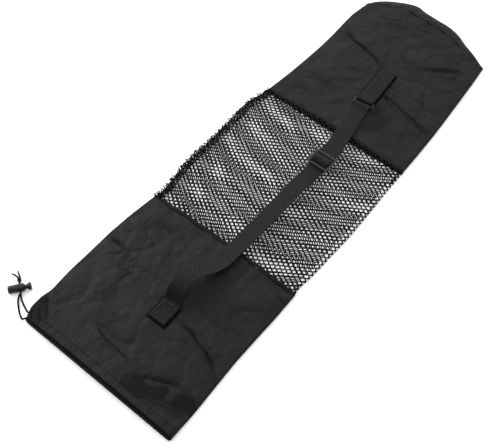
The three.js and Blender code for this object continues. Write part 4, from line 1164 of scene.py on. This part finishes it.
def shade_by_angle(piece, limit=math.radians(32)):
    held = bmesh.new()
    held.from_mesh(piece.data)
    for face in held.faces:
        face.smooth = True
    for edge in held.edges:
        edge.smooth = len(edge.link_faces) == 2 and edge.calc_face_angle(0) < limit
    held.to_mesh(piece.data)
    held.free()


def cord_lock():
    """The lock's barrel and its sprung button, each a turned profile of (along, radius)."""
    back = LOCK_MOUTH - LOCK_LENGTH
    r, lip, cord_hole = LOCK_RADIUS, 0.8, 3.0
    barrel = [(back, 0.0), (back, r - lip), (back + 0.25, r - 0.3), (back + lip, r)]
    for groove in (back + 4.4, back + 6.4):
        barrel += [(groove - 0.5, r), (groove - 0.25, r - 0.35)]
        barrel += [(groove + 0.25, r - 0.35), (groove + 0.5, r)]
    barrel += [(LOCK_MOUTH - 0.4, r), (LOCK_MOUTH - 0.1, r - 0.15), (LOCK_MOUTH, r - 0.4)]
    barrel += [(LOCK_MOUTH, LOCK_BORE), (back + LOCK_FLOOR, LOCK_BORE), (back + LOCK_FLOOR, 0.0)]
    body = turned_piece("lock_barrel", barrel, "bag", 0, cord_hole, "cord_lock_body")
    stem = LOCK_BORE - GAP
    inner = back + LOCK_FLOOR + LOCK_TRAVEL + GAP
    cap = LOCK_MOUTH + LOCK_TRAVEL + GAP
    end, dish = cap + CAP_LENGTH, 0.5
    button = [(inner, 0.0), (inner, stem - 0.3), (inner + 0.3, stem), (LOCK_MOUTH + NECK_STEP, stem)]
    button += [(LOCK_MOUTH + 2 * NECK_STEP, NECK_RADIUS), (cap - NECK_STEP, NECK_RADIUS)]
    button += [(cap, CAP_RADIUS - 0.7), (cap + 0.25, CAP_RADIUS - 0.2), (cap + 0.7, CAP_RADIUS)]
    button += [(end - 0.7, CAP_RADIUS), (end - 0.2, CAP_RADIUS - 0.25), (end, CAP_RADIUS - 0.8)]
    button += [(end - dish, 2.4), (end - dish, 0.0)]
    slot_length = cord_hole + LOCK_TRAVEL
    plunger = turned_piece(
        "lock_button", button, "plunger", LOCK_TRAVEL / 2, slot_length, "cord_lock_plunger"
    )
    return body, plunger


def slider_piece():
    """A flat frame with three bars and two windows."""
    opening = STRAP_WIDTH + 2 * SIDE_CLEARANCE
    xs = [-SLIDER_LENGTH / 2, -SLIDER_LENGTH / 2 + BAR_WIDTH, -MIDDLE_BAR / 2]
    xs += [-value for value in xs[::-1]]
    ys = [-opening / 2 - BAR_WIDTH, -opening / 2, opening / 2, opening / 2 + BAR_WIDTH]
    held = bmesh.new()
    corner = {}
    for i, x in enumerate(xs):
        for j, y in enumerate(ys):
            corner[i, j] = held.verts.new((x, y, -BAR_THICK / 2))
    for i in range(5):
        for j in range(3):
            if j != 1 or i % 2 == 0:
                around = [(i, j), (i + 1, j), (i + 1, j + 1), (i, j + 1)]
                held.faces.new([corner[key] for key in around])
    made = bmesh.ops.extrude_face_region(held, geom=held.faces[:])
    lifted = [item for item in made["geom"] if isinstance(item, bmesh.types.BMVert)]
    bmesh.ops.translate(held, verts=lifted, vec=(0, 0, BAR_THICK))
    bmesh.ops.recalc_face_normals(held, faces=held.faces)

    def at_corner(edge):
        first, second = (vertex.co for vertex in edge.verts)
        upright = abs(first.z - second.z) > 1
        return upright and abs(first.x) > xs[-1] - 0.01 and abs(first.y) > ys[-1] - 0.01

    corners = [edge for edge in held.edges if at_corner(edge)]
    bmesh.ops.bevel(held, geom=corners, offset=3.0, segments=6, affect="EDGES", profile=0.5)
    sharp_angle = math.radians(40)
    sharp = [edge for edge in held.edges if edge.calc_face_angle(0) > sharp_angle]
    bmesh.ops.bevel(held, geom=sharp, offset=0.45, segments=3, affect="EDGES", profile=0.5)
    seat(held, "slider", SLIDER_PLACE, BAR_HEIGHT, "strap_slider")


def seat(held, name, x, lift, node):
    """A fitting made round its own middle, moved to its place on the strap."""
    turn = Matrix.Rotation(math.atan(float(strap_heading(x))), 4, "Z")
    place = to_row([x, float(smooth_side(x)), STRAP_BED + lift])
    matrix = Matrix.Translation(place) @ turn @ Matrix.Scale(MM, 4)
    bmesh.ops.transform(held, matrix=matrix, verts=held.verts)
    mesh = bpy.data.meshes.new(name)
    held.to_mesh(mesh)
    held.free()
    mesh.materials.append(FITTING)
    piece = bpy.data.objects.new(name, mesh)
    bpy.context.scene.collection.objects.link(piece)
    shade_by_angle(piece)
    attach(piece, "bag")
    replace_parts(piece, node)


def ring_piece():
    """A rectangular loop of round wire."""
    half_x, half_y = RING_BAR, (STRAP_WIDTH + 2 * SIDE_CLEARANCE + RING_WIRE) / 2
    bend, turns, sides = 2.0, 8, 14
    held = bmesh.new()
    rings = []
    for corner, (x, y) in enumerate(((1, 1), (-1, 1), (-1, -1), (1, -1))):
        bend_middle = Vector((x * (half_x - bend), y * (half_y - bend), 0))
        for step in range(turns + 1):
            angle = math.pi / 2 * (corner + step / turns)
            out = Vector((math.cos(angle), math.sin(angle), 0))
            ring = []
            for side in range(sides):
                turn = 2 * math.pi * side / sides
                away = math.cos(turn) * out + Vector((0, 0, math.sin(turn)))
                ring.append(held.verts.new(bend_middle + bend * out + RING_WIRE / 2 * away))
            rings.append(ring)
    for ring, following in zip(rings, rings[1:] + rings[:1]):
        for side in range(sides):
            after = (side + 1) % sides
            held.faces.new([ring[side], following[side], following[after], ring[after]])
    seat(held, "ring", RING_PLACE, RING_HEIGHT, "strap_ring")


# ---- Cord ----
def smooth_path(points, spacing=0.0006):
    """A smooth line through the points, closely divided."""
    points = [Vector(p) for p in points]
    ends = [2 * points[0] - points[1]] + points + [2 * points[-1] - points[-2]]
    line = [points[0]]
    for k in range(1, len(ends) - 2):
        a, b, c, d = ends[k - 1:k + 3]
        steps = max(2, int((c - b).length / spacing))
        for step in range(1, steps + 1):
            t = step / steps
            square, cube = 2 * a - 5 * b + 4 * c - d, 3 * b - a - 3 * c + d
            line.append(0.5 * (2 * b + (c - a) * t + square * t**2 + cube * t**3))
    return line


def tube_mesh(line, radius, sides):
    """Vertices, faces and plan of a round tube along a line."""
    vertices, uvs = [], []
    side = Vector((0, 0, 1))
    passed = 0.0
    for index, point in enumerate(line):
        ahead = (line[min(index + 1, len(line) - 1)] - line[max(index - 1, 0)]).normalized()
        side = (side - ahead * side.dot(ahead)).normalized()
        other = ahead.cross(side)
        passed += (point - line[max(index - 1, 0)]).length
        size = radius(index / (len(line) - 1)) if callable(radius) else radius
        for k in range(sides):
            angle = 2 * math.pi * k / sides
            vertices.append(point + size * (math.cos(angle) * side + math.sin(angle) * other))
            uvs.append((k / sides, passed))
    return vertices, capped_faces(len(line), sides), uvs


def tube_piece(name, lines, radius, sides=12):
    """A piece of cord along some lines. radius is a number or a function of the share passed."""
    vertices, faces, uvs = [], [], []
    for line in lines:
        more, quads, plan = tube_mesh(line, radius, sides)
        faces += [[corner + len(vertices) for corner in quad] for quad in quads]
        vertices += more
        uvs += plan
    piece = add_mesh(name, vertices, faces, CORD, uvs=uvs)
    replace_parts(piece, "drawcord")
    return piece


def path_length(line):
    return sum((b - a).length for a, b in zip(line[:-1], line[1:]))


def knot_line(steps=90):
    """A closed trefoil, a little flattened."""
    turn = Matrix.Rotation(LOCK_TURN, 3, "Z")
    line = []
    for step in range(steps + 1):
        t = 2 * math.pi * step / steps
        x, y = math.sin(t) + 2 * math.sin(2 * t), math.cos(t) - 2 * math.cos(2 * t)
        z = -1.3 * math.sin(3 * t)
        line.append(KNOT + turn @ Vector((x * 0.62, y * 0.72, z * 0.85)) * MM)
    return line


def fray_lines():
    """Loose fibres at the cord's two cut ends."""
    hairs = []
    for tip, seed in zip(TIPS, (0.0, 9.0)):
        end, before = Vector(tip[-1]), Vector(tip[-2])
        ahead = (end - before).normalized()
        for k in range(11):
            swing = Vector([0.55 * math.sin((axis + 2) * 1.9 * k + seed + axis) for axis in range(3)])
            start = end - ahead * 0.7 * MM + Vector((swing.x, swing.y, 0.2 * abs(swing.z))) * 0.7 * MM
            way = (ahead + Vector((swing.y, swing.z, 0.15 * swing.x)) * 0.9).normalized()
            stop = start + way * (2.2 + 1.4 * abs(swing.x)) * MM
            stop.z = max(stop.z, 0.35 * MM)
            hairs.append(smooth_path([start, (start + stop) / 2 + Vector((0, 0, 0.3 * MM)), stop]))
    return hairs


def free_cords():
    """Both free stretches, from the channel through the lock to the knot and the cut ends."""
    radius = CORD_DIAMETER / 2
    body, plunger = cord_lock()
    knot = tube_piece("cord_knot", [knot_line()], 1.05 * MM)
    tip_lines = [smooth_path(tip) for tip in TIPS]
    tips = tube_piece("cord_tips", tip_lines, lambda t: radius * (1 - 0.25 * t))
    frayed = tube_piece("cord_fray", fray_lines(), lambda t: 0.2 * MM * (1 - 0.7 * t), sides=5)
    for name, route in (("drawcord_upper", UPPER_ROUTE), ("drawcord_lower", LOWER_ROUTE)):
        line = smooth_path(route)
        piece = tube_piece(name, [line], radius)
        path_length(line)
        [tuple(p) for p in line[::4]] + [tuple(line[-1])]


def hidden_cord():
    """The stretch in the channel, seen only at the unsewn end."""
    middle, depth, parting = 6.3, 2.45, 3.1
    ring = mouth_skin(np.array([middle]), depth)[0]
    left = int(np.argmax(ring[:, 1]))
    order = np.roll(ring, -left, axis=0)
    share = np.linspace(0, 1, len(order))
    # The two ends part from the channel's middle to come out beside each other
    order[:, 0] += parting * (1 - rise(share, 0, 0.06)) - parting * rise(share, 0.94, 1)
    line = [Vector(p) for p in to_row(order[1:-1:2])]
    line = [Vector(LOWER_ROUTE[0])] + line + [Vector(UPPER_ROUTE[0])]
    tube_piece("drawcord_in_channel", [line], CORD_DIAMETER / 2, sides=10)


# ---- Scene ----
def place_camera():
    data = bpy.data.cameras.new("camera")
    data.lens, data.sensor_width, data.sensor_fit = LENS, SENSOR, "HORIZONTAL"
    data.clip_start, data.clip_end = 0.01, 50
    camera = bpy.data.objects.new("camera", data)
    turn = Matrix((RIGHT, UP, -AHEAD)).transposed().to_4x4()
    camera.matrix_world = Matrix.Translation(EYE) @ turn
    bpy.context.scene.collection.objects.link(camera)
    bpy.context.scene.camera = camera


def area_light(name, place, target, size, power):
    data = bpy.data.lights.new(name, "AREA")
    data.shape, data.size, data.energy = "DISK", size, power
    lamp = bpy.data.objects.new(name, data)
    lamp.location = place
    lamp.rotation_euler = (Vector(target) - Vector(place)).to_track_quat("-Z", "Y").to_euler()
    bpy.context.scene.collection.objects.link(lamp)


def studio():
    """A pale floor, one soft lamp and a world that is brightest toward the lamp's side."""
    held = bmesh.new()
    bmesh.ops.create_grid(held, x_segments=8, y_segments=8, size=6.0)
    mesh = bpy.data.meshes.new("floor")
    held.to_mesh(mesh)
    held.free()
    mesh.materials.append(floor_look())
    ground = bpy.data.objects.new("floor", mesh)
    bpy.context.scene.collection.objects.link(ground)
    area_light("key", (0.0, 1.7, 1.1), (0.1, -0.1, 0), 0.8, 25)
    world = bpy.data.worlds.new("studio")
    world.use_nodes = True
    tree = world.node_tree
    background = tree.nodes["Background"]
    direction = tree.nodes.new("ShaderNodeTexCoord")
    facing = tree.nodes.new("ShaderNodeVectorMath")
    facing.operation = "DOT_PRODUCT"
    facing.inputs[1].default_value = Vector((0.3, 0.5, 0.8)).normalized()
    brightness = tree.nodes.new("ShaderNodeMapRange")
    brightness.interpolation_type = "SMOOTHSTEP"
    limits = {"From Min": -0.35, "From Max": 1.0, "To Min": 0.2, "To Max": 1.75}
    for socket, value in limits.items():
        brightness.inputs[socket].default_value = value
    tree.links.new(direction.outputs["Generated"], facing.inputs[0])
    tree.links.new(facing.outputs["Value"], brightness.inputs["Value"])
    tree.links.new(brightness.outputs["Result"], background.inputs["Color"])
    background.inputs["Strength"].default_value = 1.0
    bpy.context.scene.world = world
    bpy.context.scene.view_settings.view_transform = "Standard"
    bpy.context.scene.view_settings.look = "None"


place_camera()
free_cords()
hidden_cord()
mouth_grid = mouth_panel()
base_grid = base_panel()
base_disc()
net_panel()
net_seams()
webbing_piece("strap_webbing", strap_run(), PATCH_START + PATCH_LENGTH, "strap")
webbing_piece("tab_webbing", tab_run(), TAB_END + 2, "ring_tab")
slider_piece()
ring_piece()

hem_row = int(np.argmin(np.abs(mouth_grid[:, 30, 0] - HEM_PLACE)))
hem_line = surface_line(mouth_grid, hem_row) + [0, 0, 0.15]
stitches("hem_stitches", [hem_line], THREAD)
seam_line = surface_line(base_grid, base_grid.shape[0] - 4) + [0, 0, 0.1]
stitches("base_stitches", [seam_line], THREAD, pitch=3.4)
thick_thread = {"pitch": 2.8, "share": 0.85, "radius": 0.4, "lift": 0.12}
stitches("patch_stitches", box_and_cross(*PATCH_BOX), STRAP_THREAD, **thick_thread)
tab_bar = [[on_webbing(TAB_BAR, side * BOX_HALF, LAYER_HIGH) for side in (-1, 1)]]
stitches("tab_stitches", box_and_cross(*TAB_BOX) + tab_bar, STRAP_THREAD, **thick_thread)
studio()
